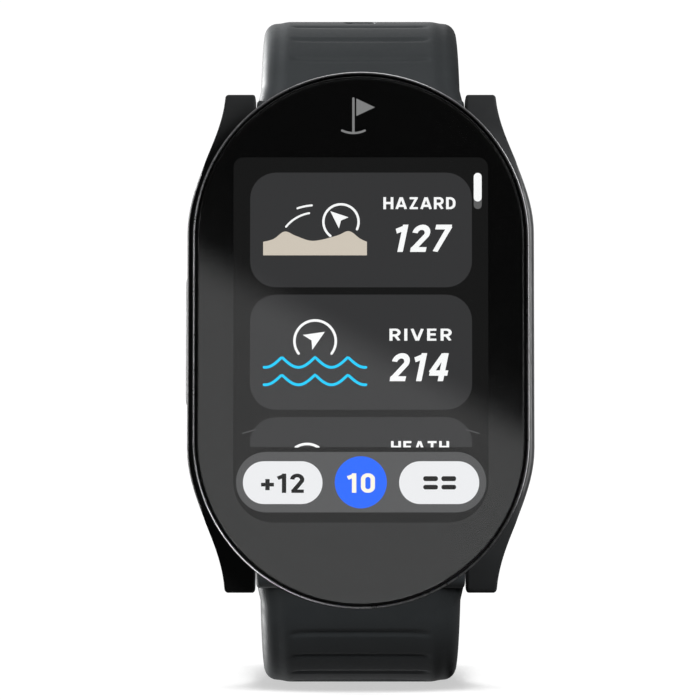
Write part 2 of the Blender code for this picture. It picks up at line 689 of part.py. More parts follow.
def strap(name, length, side, holes):
    """One strap with its spring-bar barrel, bore, lever slot and holes."""
    axis = (0.0, BAR_Y, side * BAR_Z)
    band = make(name, strap_band(length, side), "strap_silicone", axis)
    barrel = [(BARREL_RADIUS, -BARREL_HALF_WIDTH), (BARREL_RADIUS, BARREL_HALF_WIDTH)]
    combine(band, "UNION", turned_across(barrel, *axis[1:], 20), "barrel")
    reach = BARREL_HALF_WIDTH + OVERCUT
    bore = [(BAR_RADIUS + BAR_CLEARANCE, -reach), (BAR_RADIUS + BAR_CLEARANCE, reach)]
    combine(band, "DIFFERENCE", turned_across(bore, *axis[1:], 16), "bar_bore")
    combine(band, "DIFFERENCE", lever_slot(side, STRAP_SLOT_HALF_WIDTH, 0.0, STRAP_SLOT_DEPTH), "lever_slot")
    combine(band, "DIFFERENCE", join(oblong_holes(holes, side)), "holes")
    return band


def upper_strap():
    """Buckle side: the strap's far end wraps the buckle bar, with a notch for the tongue."""
    band = strap("strap_top", UPPER_LENGTH, 1, VENT_HOLES)
    y, z, heading = strap_at(UPPER_LENGTH)
    half = STRAP_HALF_WIDTH[-1][1]
    combine(band, "UNION", turned_across([(BUCKLE_BARREL, -half), (BUCKLE_BARREL, half)], y, z, 16),
            "buckle_barrel")
    bore = [(BUCKLE_BORE, -half - OVERCUT), (BUCKLE_BORE, half + OVERCUT)]
    combine(band, "DIFFERENCE", turned_across(bore, y, z, 14), "buckle_bore")
    notch = box((-NOTCH_HALF_WIDTH, -NOTCH_DEPTH, -HOLE_REACH), (NOTCH_HALF_WIDTH, HOLE_REACH, HOLE_REACH))
    combine(band, "DIFFERENCE", placed(notch, strap_frame(UPPER_LENGTH, 1)), "tongue_notch")


def spring_bar(name, side):
    """Hollow bar with one fixed tip; its slot lets the release lever out."""
    y, z = BAR_Y, side * BAR_Z
    profile = [(PIN_RADIUS, -PIN_REACH), (PIN_RADIUS, -BAR_HALF_LENGTH), (BAR_RADIUS, -BAR_HALF_LENGTH),
               (BAR_RADIUS, BAR_HALF_LENGTH), (BAR_BORE, BAR_HALF_LENGTH), (BAR_BORE, BAR_BORE_END)]
    bar = make(f"spring_bar_{name}", turned_across(profile, y, z, 14), "bar_steel", (0.0, y, z))
    combine(bar, "DIFFERENCE", lever_slot(side, BAR_SLOT_HALF_WIDTH, 0.0, BAR_SLOT_DEPTH), "lever_slot")


def release_pin(name, side):
    """Sliding tip of the spring bar, with the finger lever that draws it back."""
    y, z = BAR_Y, side * BAR_Z
    rod = turned_across([(PIN_RADIUS, PIN_START), (PIN_RADIUS, PIN_REACH)], y, z, 10)
    pin = make(f"release_pin_{name}", rod, "bar_steel", (0.0, y, z))
    round_lever = circle(LEVER_RADIUS, 8)
    lever = loft([[(LEVER_X + a, b, n) for a, b in round_lever] for n in (-LEVER_REACH, LEVER_ROOT)])
    combine(pin, "UNION", placed(lever, strap_frame(0.0, side)), "lever")


def buckle():
    """Buckle bar, U-shaped frame and tongue, all about the bar's axis."""
    y, z, heading = strap_at(UPPER_LENGTH)
    axis = (0.0, y, z)
    tilt = heading + BUCKLE_LEAN
    frame = Matrix.Translation(axis) @ Matrix.Rotation(math.radians(tilt), 4, "X")
    reach = FRAME_OUTER_X - BUCKLE_BAR_SETBACK
    bar = [(BUCKLE_BAR_RADIUS, -reach), (BUCKLE_BAR_RADIUS, reach)]
    make("buckle_bar", turned_across(bar, y, z, 12), "bar_steel", axis)
    make_buckle_frame(frame, axis, tilt)
    make_buckle_tongue(frame, axis, tilt)


def make_buckle_frame(frame, axis, tilt):
    """Two arms joined by the front bar, drilled for the buckle bar."""
    large, small = FRAME_CORNERS
    outer = (arc(FRAME_OUTER_X - large, FRAME_REACH - large, large, 0, 90, 5)
             + arc(large - FRAME_OUTER_X, FRAME_REACH - large, large, 90, 180, 5))
    inner = (arc(small - FRAME_INNER_X, FRAME_INNER_REACH - small, small, 180, 90, 3)
             + arc(FRAME_INNER_X - small, FRAME_INNER_REACH - small, small, 90, 0, 3))
    outline = ([(FRAME_OUTER_X, FRAME_BACK)] + outer
               + [(-FRAME_OUTER_X, FRAME_BACK), (-FRAME_INNER_X, FRAME_BACK)]
               + inner + [(FRAME_INNER_X, FRAME_BACK)])
    levels = (-FRAME_HALF_THICKNESS, FRAME_HALF_THICKNESS)
    body = placed(loft([[(x, t, n) for x, t in outline] for n in levels]), frame)
    made = make("buckle_frame", body, "buckle_metal", axis, tilt)
    reach = FRAME_OUTER_X + OVERCUT
    bore = turned_across([(FRAME_BORE, -reach), (FRAME_BORE, reach)], *axis[1:], 12)
    combine(made, "DIFFERENCE", bore, "bar_holes")


def make_buckle_tongue(frame, axis, tilt):
    """Tongue: an eye on the bar and an arm that rests over the frame's front bar."""
    arm = loft([[(x, t, n) for t, n in TONGUE_SIDE] for x in (-TONGUE_HALF_WIDTH, TONGUE_HALF_WIDTH)])
    made = make("buckle_tongue", placed(arm, frame), "buckle_metal", axis, tilt)
    eye = turned_across([(TONGUE_EYE, -TONGUE_HALF_WIDTH), (TONGUE_EYE, TONGUE_HALF_WIDTH)], *axis[1:], 16)
    combine(made, "UNION", eye, "eye")
    reach = TONGUE_HALF_WIDTH + OVERCUT
    bore = turned_across([(TONGUE_BORE, -reach), (TONGUE_BORE, reach)], *axis[1:], 12)
    combine(made, "DIFFERENCE", bore, "bore")


def keeper(name, backset, origin):
    """A strap loop round the upper strap, backset before the buckle bar."""
    middle = UPPER_LENGTH - backset
    stations = [middle + KEEPER_LENGTH * (i / 3 - 0.5) for i in range(4)]
    walls = []
    for half_x, half_n, centre in (KEEPER_OUTER, KEEPER_INNER):
        outline = rounded_rect(half_x, half_n, KEEPER_CORNER, 2, 0.0, centre)
        walls.append([[strap_frame(s, 1) @ Vector((x, 0.0, n)) for x, n in outline] for s in stations])
    outer, inner = walls
    make(name, loft(outer + inner[::-1], ring=True), "strap_silicone", origin)


def main():
    """Clear the scene and build every piece."""
    for old in list(bpy.data.objects):
        bpy.data.objects.remove(old, do_unlink=True)
    mid_case()
    bezel_ring()
    cover_glass()
    display()
    screws()
    case_back()
    electronics()
    side_button()
    upper_strap()
    strap("strap_bottom", LOWER_LENGTH, -1, SIZING_HOLES)
    for name, side in (("top", 1), ("bottom", -1)):
        spring_bar(name, side)
        release_pin(name, side)
    buckle()
    keeper("keeper_fixed", FIXED_KEEPER_BACKSET, (0.0, 0.0, 0.0))
    keeper("keeper_free", FREE_KEEPER_BACKSET, (0.0, back_arc()[1], 0.0))


main()
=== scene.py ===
"""Looks of the golf GPS watch, built round its CAD frame.

The row frame has +Z towards twelve o'clock, -Y out of the glass and +X to the right.  Shapes
are drawn in millimetres; a "depth" is the distance in front of the case back's face.
"""

import math

import bmesh
import bpy
from mathutils import Matrix, Vector

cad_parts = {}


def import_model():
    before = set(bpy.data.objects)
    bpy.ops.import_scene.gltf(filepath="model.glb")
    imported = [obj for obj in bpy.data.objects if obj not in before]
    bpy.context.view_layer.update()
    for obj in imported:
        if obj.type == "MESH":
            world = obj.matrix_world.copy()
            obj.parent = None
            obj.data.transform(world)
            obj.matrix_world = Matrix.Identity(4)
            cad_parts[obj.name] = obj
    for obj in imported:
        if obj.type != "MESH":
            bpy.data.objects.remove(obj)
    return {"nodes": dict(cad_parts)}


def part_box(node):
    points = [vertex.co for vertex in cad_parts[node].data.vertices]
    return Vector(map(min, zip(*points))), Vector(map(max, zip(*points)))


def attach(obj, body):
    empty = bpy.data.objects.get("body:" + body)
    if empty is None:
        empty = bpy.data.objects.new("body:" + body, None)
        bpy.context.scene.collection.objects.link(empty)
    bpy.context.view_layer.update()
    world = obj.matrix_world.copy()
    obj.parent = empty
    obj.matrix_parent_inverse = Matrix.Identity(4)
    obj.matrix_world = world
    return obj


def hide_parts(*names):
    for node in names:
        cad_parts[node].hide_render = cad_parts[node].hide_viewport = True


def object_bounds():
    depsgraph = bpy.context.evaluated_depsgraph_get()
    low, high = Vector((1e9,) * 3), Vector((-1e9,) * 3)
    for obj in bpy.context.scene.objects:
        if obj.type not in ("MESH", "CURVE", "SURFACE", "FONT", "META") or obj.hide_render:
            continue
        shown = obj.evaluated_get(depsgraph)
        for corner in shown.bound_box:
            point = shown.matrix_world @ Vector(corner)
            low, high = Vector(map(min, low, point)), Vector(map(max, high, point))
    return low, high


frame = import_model()
CAD_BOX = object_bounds()
MM = 0.001


def reach_of(node):
    """(lowest, highest) corner of a CAD node in millimetres."""
    low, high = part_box(node)
    return low / MM, high / MM


# ---------------------------------------------------------------- sizes read from the frame

CASE_LOW, CASE_HIGH = reach_of("mid_case")
RING_LOW, RING_HIGH = reach_of("bezel_ring")
GLASS_LOW, GLASS_HIGH = reach_of("cover_glass")
PANEL_LOW, _ = reach_of("display_panel")
BACK_LOW, BACK_HIGH = reach_of("case_back")
BUTTON_LOW, _ = reach_of("side_button")
BAR_LOW, BAR_HIGH = reach_of("spring_bar_top")

RING_HALF_WIDTH = RING_HIGH.x
RING_STRAIGHT = RING_HIGH.z - RING_HIGH.x
RING_FRONT = -RING_LOW.y
RING_BACK = -RING_HIGH.y
GLASS_HALF_WIDTH = GLASS_HIGH.x
GLASS_FRONT = -GLASS_LOW.y
GLASS_BACK = -GLASS_HIGH.y
CASE_HALF_WIDTH = CASE_HIGH.x
CASE_FRONT = -CASE_LOW.y
CASE_REAR = -CASE_HIGH.y
PANEL_FRONT = -PANEL_LOW.y
BAR_Y = (BAR_LOW.y + BAR_HIGH.y) / 2
BAR_Z = (BAR_LOW.z + BAR_HIGH.z) / 2
PIN_REACH = max(BAR_HIGH.x, -BAR_LOW.x)

# ---------------------------------------------------------------- sizes shared with the CAD part

# Mid-case
CASE_STRAIGHT = 11.0
LUG_TIP_X = 14.1
LUG_TIP_Z = 25.9
LUG_INNER_X = 11.0
LUG_GAP_Z = 20.3
LIP_HALF_WIDTH = 16.87
FLANGE_HALF_WIDTH = 15.7
FLANGE_FRONT = 11.0
POCKET_DEPTH = 8.9
OVERHANG_BACK = 8.0
RECESS_DEPTH = 2.0
CAVITY = (14.2, 18.2, 9.0)
RECESS = (15.6, 19.2, 5.0)
BACK_CORNER = 4.7
BACK_SCREW = (12.6, 16.6)
TRAY_SCREW = (6.0, 19.25)
CONTACT_X = (-4.5, -1.5, 1.5, 4.5)
CONTACT_Z = -13.2

# Side button
BUTTON_DEPTH = 6.4
BUTTON_HALF_LENGTH = 6.85
BUTTON_HALF_HEIGHT = 1.7
BUTTON_GAP = 0.3
BUTTON_FLOOR_X = 16.0
BUTTON_BACK_X = 16.85
STEM_RADIUS = 0.75
STEM_END_X = 13.6

# Straps
BAR_RADIUS = 0.9
BAR_BORE = 0.62
PIN_RADIUS = 0.42
LUG_HOLE_RADIUS = 0.65
LUG_HOLE_REACH = 12.6
BARREL_RADIUS = 2.1
BARREL_HALF_WIDTH = 10.85
RELEASE_TRAVEL = 1.3
LEVER_X = 7.6
LEVER_RADIUS = 0.36
LEVER_REACH = 2.9
STRAP_START_ANGLE = 55.0
STRAP_SIDE_ANGLE = -8.0
CREST_RADIUS = 16.5
CREST_Z = 34.95
SIDE_RUN = 20.0
UPPER_LENGTH = 70.0
LOWER_LENGTH = 94.0
STRAP_HALF_WIDTH = ((0.0, 10.85), (2.0, 10.85), (4.2, 10.5), (21.0, 10.4), (44.0, 9.2))
STRAP_HALF_THICKNESS = ((0.0, 1.6), (10.0, 1.25), (44.0, 1.1))
TIP_TAPER = 8.0
VENT_HOLES = (17.3, 25.3, 33.3)
SIZING_HOLES = (50.0, 56.0, 62.0, 68.0, 74.0, 80.0, 86.0)
HOLE_HALF_WIDTH = 1.65
HOLE_HALF_LENGTH = 1.0

# Buckle and keepers
BUCKLE_BAR_RADIUS = 0.75
BUCKLE_BORE = 1.05
BUCKLE_BARREL = 1.7
BUCKLE_LEAN = -8.0
FRAME_OUTER_X = 11.2
FRAME_INNER_X = 9.6
FRAME_INNER_REACH = 8.2
FRAME_REACH = 10.1
FRAME_BACK = 1.7
FRAME_HALF_THICKNESS = 1.0
TONGUE_HALF_WIDTH = 1.0
NOTCH_HALF_WIDTH = 1.4
KEEPER_OUTER = (11.0, 3.7, 1.4)
KEEPER_INNER = (9.9, 2.7, 1.3)
KEEPER_LENGTH = 5.0
FIXED_KEEPER_BACKSET = 5.5
FREE_KEEPER_BACKSET = 15.5

# Spring bars, slots and the strap's buckle end
BAR_HALF_LENGTH = 10.4
BAR_BORE_END = 1.0
BAR_CLEARANCE = 0.3
PIN_START = 3.0
PIN_NOSE = 0.25
LEVER_ROOT = 0.1
LEVER_CLEARANCE = 0.24
STRAP_SLOT = (0.75, 4.0)
BAR_SLOT = (0.6, 2.0)
TIP_ROUNDING = 0.97
NOTCH_DEPTH = 2.8
HOLE_REACH = 3.0
HOLE_FLAT = 0.02

# Keeps a stadium's straight sides from vanishing where it stands for a circle
NEARLY = 0.001

# How far a cutter passes the face it cuts through
OVERCUT = 1.5

# ---------------------------------------------------------------- sizes of the fine detail

# Case: its (depth, height) profile, its broken edge, the rounding of its lug tips and lug roots,
# its bezel seat and its bores
CASE_PROFILE = ((CASE_FRONT, 15.5), (10.0, 18.5), (8.6, 22.0), (6.6, 25.1), (5.4, LUG_TIP_Z),
                (2.4, LUG_TIP_Z), (1.5, 25.5), (CASE_REAR, 24.4))
CASE_EDGE = 0.55
LUG_CORNER = 0.35
LUG_SOFTENING = 0.25
LUG_SOFT_SHARE = 0.45
LUG_LEAST_REACH = 0.06
FLANK_STEPS = 22
SEAT_SIDE = ((1.2, OVERHANG_BACK), (0.6, OVERHANG_BACK + 0.35), (0.15, OVERHANG_BACK + 0.75),
             (0.0, OVERHANG_BACK + 1.0), (0.0, CASE_FRONT - 0.08), (0.08, CASE_FRONT))
BACK_SCREW_BORE = ((0.8, 1.5), (0.8, 6.5))
TRAY_SCREW_BORE = ((0.65, 5.0), (0.65, 9.5))

# Button: (inset, setback) of its crown, (gap, x) of its slot, and the (radius, x) of seal seat and stem hole
BUTTON_CROWN = ((0.62, 0.0), (0.4, 0.03), (0.2, 0.1), (0.06, 0.22), (0.0, 0.4))
BUTTON_SLOT = ((BUTTON_GAP + 0.45, CASE_HALF_WIDTH + 0.3), (BUTTON_GAP + 0.2, CASE_HALF_WIDTH),
               (BUTTON_GAP, CASE_HALF_WIDTH - 0.2), (BUTTON_GAP, BUTTON_FLOOR_X))
SEAL_SEAT = (1.7, 15.2)
STEM_HOLE = (1.05, 13.5)

# Bezel and glass edges: (distance in from the outline, depth) pairs
RING_EDGE = ((0.0, RING_BACK), (0.0, RING_FRONT - 0.16), (0.03, RING_FRONT - 0.06), (0.09, RING_FRONT))
GLASS_EDGE = ((0.08, GLASS_BACK), (0.0, GLASS_BACK + 0.08), (0.0, GLASS_FRONT - 0.07),
              (0.01, GLASS_FRONT - 0.03), (0.03, GLASS_FRONT - 0.01), (0.07, GLASS_FRONT),
              (0.09, GLASS_FRONT))
LIP_EDGE = ((0.05, RING_FRONT - 0.02), (0.0, RING_FRONT - 0.10), (0.0, FLANGE_FRONT))
LIP_REACH = 0.12
LIP_BREAK = 0.08
BORDER_INSET = 0.03
BORDER_FRONT = GLASS_BACK - 0.02
BORDER_BACK = GLASS_BACK - 0.07

# Case back: (radius, depth) profiles of its wells, screws and contacts, and its label groove
BACK_RIM = 0.05
BACK_OUTER_RIM = 0.45
SCREW_WELL = ((1.45, -0.5), (1.35, 0.0), (1.25, 0.08), (1.25, 1.0), (0.8, 1.0), (0.8, 2.0))
CONTACT_HOLE = ((1.35, -0.5), (1.25, 0.0), (1.15, 0.08), (1.15, 2.0))
SCREW_SIDE = ((0.80, 0.10), (0.93, 0.13), (1.0, 0.22), (1.0, 0.75), (0.55, 0.75), (0.55, 4.85), (0.45, 5.0))
CONTACT_DOME = ((0.25, 0.10), (0.55, 0.13), (0.78, 0.22), (0.88, 0.36), (0.9, 0.5), (0.9, 2.0))
LABEL_GROOVE = ((0.35, 0.25), (0.35, -0.5), (0.0, -0.5), (0.0, 0.25))
LABEL = (1.2, 7.4, 3.6, 5.6)
DRIVE_LOBES = 6
DRIVE_RADIUS = 0.42
DRIVE_SWING = 0.08
DRIVE_DEPTH = 0.5

# Straps
GROOVE_START = 7.4
GROOVE_PITCH = 3.6
GROOVE_END = 43.0
GROOVE_HALF_WIDTH = 0.42
GROOVE_DEPTH = 0.15
STRAP_STEP = 0.28
STRAP_EDGE_RADIUS = 1.4
STRAP_SHOULDER = 1.4
STRAP_CROWN = 0.2
STRAP_LEAST_CROWN = 0.5
STRAP_INNER_RADIUS = 0.45
STRAP_SHOULDER_STEPS = (0.2, 0.4, 0.6, 0.8)
STRAP_COLUMNS = (1.0, 0.96, 0.92, 0.87, 0.8, 0.65, 0.5, 0.35, 0.18)
GROOVE_BOW = 0.35
GROOVE_FLANK = 0.75
GROOVE_FADE = (0.15, 0.7)
BARREL_RIM = 0.35
BUCKLE_BARREL_RIM = 0.3
BAR_CHAMFER = (0.12, 0.15)
PIN_CHAMFER = 0.2
LEVER_CROWN = ((0.12, 0.0), (0.05, 0.05), (0.0, 0.16))

# Strap holes: (distance in from the outline, height over the strap's face)
HOLE_RIM = ((0.0, -0.3), (-0.05, -0.12), (-0.2, 0.02), (-0.5, 0.3))

# Buckle and keepers
FRAME_CORNERS = (2.4, 1.2)
FRAME_RIM = 0.38
FRAME_BORE = 0.9
BUCKLE_BAR_SETBACK = 0.1
BUCKLE_BAR_BREAK = 0.15
TONGUE_SIDE = ((0.1, 0.9), (0.9, 1.5), (5.0, 1.86), (9.2, 2.1), (9.85, 1.95), (9.9, 1.5), (9.0, 1.2),
               (5.0, 0.72), (2.4, 0.3), (1.2, -0.3))
TONGUE_RIM = 0.22
TONGUE_EYE = 1.5
TONGUE_EYE_RIM = 0.2
TONGUE_BORE = 0.95
KEEPER_CORNERS = (0.9, 0.8)
KEEPER_RIM = 0.32

# Display window
LIT_HALF_WIDTH = 13.0
LIT_HALF_HEIGHT = 18.65
LIT_TOP_CORNER = 1.0
LIT_LOW_CORNER = 4.2

# ---------------------------------------------------------------- studio settings

CAMERA_TARGET = Vector((-0.0011, -0.0125, -0.0011))
CAMERA_DISTANCE = 0.320
CAMERA_ELEVATION = -2.7
LENS = 161.8
SENSOR_WIDTH = 36.0
WATCH_MIDDLE = Vector((0.0, 0.01, 0.0))
FLOOR_HALF_SIZE = 9.0
# Floor glow, and the painted contact shadow that ambient occlusion near the watch dims it into
FLOOR_GLOW = 1.0
FLOOR_SHADE = 0.55
FLOOR_SHADE_REACH = 0.010
FLOOR_SHADE_LEAN = (0.0, -0.7071, 0.7071)
FLOOR_SHADE_SPAN = (0.72, 0.84)
ROOM_START = 0.35
ROOM_END = 1.0
ROOM_LEVEL = 0.16
ROOM_AMBIENT = 0.03
ROOM_LEAN = 0.5
SWEEP_LEVEL = 1.05
SHEEN_CENTRE = (0.002, -0.652, 0.032)
SHEEN_HALF_SIZE = 0.16
SHEEN_SLOPE = 0.53
SHEEN_LINE = 0.0316
SHEEN_SOFTNESS = 0.0075
SHEEN_DARK = 0.02
SHEEN_LIGHT = 0.44


# ---------------------------------------------------------------- materials

NOISE_SPAN = (0.3, 0.7)


def set_range(node, values):
    """Set a Map Range node's two source limits and two target limits."""
    for label, value in zip(("From Min", "From Max", "To Min", "To Max"), values):
        node.inputs[label].default_value = value


class Finish:
    """A Principled material and short calls that add procedural detail to it."""

    def __init__(self, name, colour, roughness, metallic=0.0, **inputs):
        self.material = bpy.data.materials.new(name)
        self.material.use_nodes = True
        self.tree = self.material.node_tree
        self.shader = self.tree.nodes["Principled BSDF"]
        self.colour = colour
        self.set("Base Color", (*colour, 1.0))
        self.set("Roughness", roughness)
        self.set("Metallic", metallic)
        for label, value in inputs.items():
            self.set(label.replace("_", " "), value)
        self.place = self.node("ShaderNodeTexCoord").outputs["Object"]

    def set(self, label, value):
        """Set a constant on the shader's own socket."""
        self.shader.inputs[label].default_value = value

    def node(self, kind, **settings):
        """A new node with its properties set."""
        made = self.tree.nodes.new(kind)
        for label, value in settings.items():
            setattr(made, label, value)
        return made

    def link(self, output, target):
        """Join two sockets."""
        self.tree.links.new(output, target)

    def stretched(self, scale):
        """Object coordinates scaled by a vector, for grain with a direction."""
        mapping = self.node("ShaderNodeMapping")
        mapping.inputs["Scale"].default_value = scale
        self.link(self.place, mapping.inputs["Vector"])
        return mapping.outputs["Vector"]

    def noise(self, size, detail=3.0, place=None):
        """Noise with features of about the given size in millimetres."""
        made = self.node("ShaderNodeTexNoise")
        made.inputs["Scale"].default_value = 1.0 / (size * MM)
        made.inputs["Detail"].default_value = detail
        self.link(place or self.place, made.inputs["Vector"])
        return made.outputs["Fac"]

    def spread(self, factor, low, high, span=NOISE_SPAN):
        """Map a factor's span on to a range."""
        made = self.node("ShaderNodeMapRange")
        set_range(made, (*span, low, high))
        self.link(factor, made.inputs["Value"])
        return made.outputs["Result"]

    def tones(self, factor, *stops):
        """Colour the surface by a factor, from two (position, colour) stops."""
        ramp = self.node("ShaderNodeValToRGB")
        for element, (position, colour) in zip(ramp.color_ramp.elements, stops):
            element.position = position
            element.color = (*colour, 1.0)
        self.link(factor, ramp.inputs["Fac"])
        self.link(ramp.outputs["Color"], self.shader.inputs["Base Color"])

    def tint(self, factor, dark, light):
        """Vary the colour between dark and light times its own value."""
        self.tones(factor, *((at, [c * share for c in self.colour])
                             for at, share in zip(NOISE_SPAN, (dark, light))))

    def polish(self, factor, low, high):
        """Vary the roughness between two values."""
        self.link(self.spread(factor, low, high), self.shader.inputs["Roughness"])

    def bump(self, factor, height):
        """Raise the surface by height millimetres where the factor is one, on top of any earlier bump."""
        made = self.node("ShaderNodeBump")
        made.inputs["Strength"].default_value = 1.0
        made.inputs["Distance"].default_value = height * MM
        earlier = self.shader.inputs["Normal"]
        if earlier.is_linked:
            self.link(earlier.links[0].from_socket, made.inputs["Normal"])
        self.link(factor, made.inputs["Height"])
        self.link(made.outputs["Normal"], earlier)


def moulded(name, colour, roughness, grain, height):
    """Moulded plastic or rubber: fine spark grain, slight cloudiness and uneven sheen."""
    made = Finish(name, colour, roughness)
    made.tint(made.noise(6.0, 2.0), 0.90, 1.10)
    made.polish(made.noise(1.2, 4.0), roughness - 0.05, roughness + 0.05)
    made.bump(made.noise(grain, 2.0), height)
    return made.material


def machined(name, colour, roughness, grain=(1.0, 14.0, 14.0), height=0.002):
    """Worked metal: directional grain, small scuffs and uneven polish."""
    made = Finish(name, colour, roughness, 1.0)
    lines = made.noise(0.5, 3.0, made.stretched(grain))
    made.tint(made.noise(0.35, 5.0), 0.85, 1.12)
    made.polish(lines, roughness - 0.06, roughness + 0.08)
    made.bump(lines, height)
    return made.material


def speckled(name, colour, other, roughness, cell):
    """A board or ceramic: cells of two tones with slightly raised borders."""
    made = Finish(name, colour, roughness)
    cells = made.node("ShaderNodeTexVoronoi")
    cells.inputs["Scale"].default_value = 1.0 / (cell * MM)
    made.link(made.place, cells.inputs["Vector"])
    made.tones(cells.outputs["Distance"], (0.0, colour), (1.0, other))
    made.polish(made.noise(0.8), roughness - 0.06, roughness + 0.06)
    made.bump(cells.outputs["Distance"], 0.02)
    return made.material


def srgb(value):
    """Linear value of a display level from 0 to 255."""
    level = value / 255.0
    return level / 12.92 if level <= 0.04045 else ((level + 0.055) / 1.055) ** 2.4


GLASS_PASS = 0.92
RASTER = {"Scale": 1.0 / (0.09 * MM), "Brick Width": 1.0, "Row Height": 1.0, "Mortar Size": 0.09}
RASTER_TONES = {"Color1": 1.03, "Color2": 1.01, "Mortar": 0.98}


def lit(name, levels, strength=1.0):
    """A lit part of the display, with a fine raster in its brightness."""
    colour = tuple(srgb(level) for level in levels)
    made = Finish(name, (0.004, 0.004, 0.004), 0.35, Emission_Strength=strength / GLASS_PASS)
    made.set("Specular IOR Level", 0.0)
    raster = made.node("ShaderNodeTexBrick", offset=0.0)
    for label, value in RASTER.items():
        raster.inputs[label].default_value = value
    for label, share in RASTER_TONES.items():
        raster.inputs[label].default_value = (*(c * share for c in colour), 1.0)
    upright = made.node("ShaderNodeMapping")
    upright.inputs["Rotation"].default_value = (math.radians(-90.0), 0.0, 0.0)
    made.link(made.place, upright.inputs["Vector"])
    made.link(upright.outputs["Vector"], raster.inputs["Vector"])
    made.link(raster.outputs["Color"], made.shader.inputs["Emission Color"])
    made.polish(made.noise(0.5), 0.30, 0.40)
    return made.material


def clear_glass():
    """Toughened cover glass with faint smears that show only in reflections."""
    made = Finish("cover_glass_clear", (0.97, 0.98, 0.98), 0.02, Transmission_Weight=1.0, IOR=1.5)
    made.polish(made.noise(9.0, 4.0), 0.008, 0.03)
    return made.material


def border_ink():
    """Glossy black printing on the back of the glass."""
    made = Finish("screen_border_ink", (0.0045, 0.0045, 0.0048), 0.1, IOR=1.75)
    made.tint(made.noise(1.5), 0.85, 1.15)
    made.polish(made.noise(4.0, 4.0), 0.05, 0.09)
    return made.material


def silicone():
    """Matte moulded silicone with a fine bloom of dust in its texture."""
    made = Finish("strap_silicone_fine", (0.040, 0.045, 0.048), 0.5)
    made.set("Sheen Weight", 0.08)
    made.set("Sheen Roughness", 0.4)
    made.tint(made.noise(5.0, 3.0), 0.94, 1.06)
    made.polish(made.noise(0.9, 4.0), 0.46, 0.58)
    made.bump(made.noise(0.14, 2.0), 0.006)
    made.bump(made.noise(2.4, 2.0), 0.008)
    return made.material


LOOKS = {
    "case": moulded("case_polymer_fine", (0.020, 0.021, 0.022), 0.46, 0.12, 0.005),
    "case_back": moulded("case_back_polymer_fine", (0.020, 0.021, 0.022), 0.5, 0.16, 0.007),
    "button": moulded("button_polymer_fine", (0.03, 0.032, 0.033), 0.38, 0.12, 0.003),
    "strap": silicone(),
    "seal": moulded("seal_rubber_fine", (0.010, 0.010, 0.010), 0.75, 0.2, 0.01),
    "glass": clear_glass(),
    "border": border_ink(),
    "ring_side": moulded("bezel_coated_side", (0.012, 0.012, 0.013), 0.42, 0.2, 0.002),
    "ring_lip": machined("bezel_polished_lip", (0.60, 0.60, 0.61), 0.32, (1.0, 1.0, 1.0), 0.0008),
    "buckle": machined("buckle_metal_brushed", (0.10, 0.10, 0.105), 0.30),
    "steel": machined("bar_steel_turned", (0.58, 0.58, 0.57), 0.26, (14.0, 1.0, 1.0)),
    "screw": machined("screw_steel_turned", (0.30, 0.30, 0.30), 0.30, (1.0, 8.0, 1.0)),
    "contact": machined("contact_gold_plated", (0.80, 0.56, 0.20), 0.22, (1.0, 1.0, 1.0), 0.001),
    "tray": machined("tray_magnesium_cast", (0.25, 0.25, 0.26), 0.45, (1.0, 1.0, 1.0), 0.01),
    "board": speckled("board_laminate_traced", (0.008, 0.085, 0.035), (0.02, 0.16, 0.07), 0.45, 1.1),
    "chip": moulded("chip_resin_fine", (0.015, 0.015, 0.016), 0.5, 0.1, 0.004),
    "shield": machined("shield_tin_rolled", (0.60, 0.60, 0.58), 0.34, (1.0, 9.0, 9.0)),
    "flex": moulded("flex_polyimide_fine", (0.42, 0.19, 0.03), 0.38, 0.5, 0.004),
    "antenna": speckled("antenna_ceramic_fired", (0.68, 0.60, 0.46), (0.74, 0.66, 0.52), 0.45, 0.35),
    "battery": machined("battery_foil_wrap", (0.42, 0.43, 0.45), 0.36, (1.0, 1.0, 1.0), 0.02),
    "foam": moulded("pad_foam_open", (0.06, 0.06, 0.065), 0.9, 0.3, 0.06),
    "screen": lit("display_background", (23, 23, 23)),
    "card": lit("display_card", (54, 54, 55)),
    "bar": lit("display_bar", (84, 84, 85)),
    "bar_shade": lit("display_bar_shade", (16, 16, 16)),
    "line": lit("display_thin_line", (84, 84, 85)),
    "white": lit("display_white", (252, 252, 252)),
    "ink": lit("display_ink", (4, 4, 4)),
    "pill": lit("display_pill", (236, 236, 238)),
    "sand": lit("display_sand", (208, 198, 184)),
    "cyan": lit("display_cyan", (0, 204, 255)),
    "blue": lit("display_blue", (28, 104, 255)),
    "cream": lit("display_cream", (255, 248, 230)),
    "grey": lit("display_grey", (96, 96, 96)),
    # The printed pennant mark glows like the display: its grey is painted light, not print lit by the lamps
    "mark": lit("glowing_border_mark", (128, 128, 128)),
}


# ---------------------------------------------------------------- outlines

def arc(cx, cz, radius, start, end, steps):
    """Points of an arc, degrees from +X."""
    angles = [math.radians(start + (end - start) * i / steps) for i in range(steps + 1)]
    return [(cx + radius * math.cos(a), cz + radius * math.sin(a)) for a in angles]


def stadium(half_width, half_height, steps=16):
    """A tall outline with round ends, of half_width radius."""
    straight = half_height - half_width
    return (arc(0.0, straight, half_width, 0, 180, steps)
            + arc(0.0, -straight, half_width, 180, 360, steps))


def ring_outline(half_width, steps=72):
    """The bezel's outline at a half width."""
    return stadium(half_width, RING_STRAIGHT + half_width, steps)


def rounded_rect(half_x, half_z, radius, steps=8, cx=0.0, cz=0.0):
    """A rectangle with round corners, anticlockwise."""
    points = []
    for quarter, (sx, sz) in enumerate(((1, 1), (-1, 1), (-1, -1), (1, -1))):
        points += arc(cx + sx * (half_x - radius), cz + sz * (half_z - radius), radius,
                      90 * quarter, 90 * quarter + 90, steps)
    return points


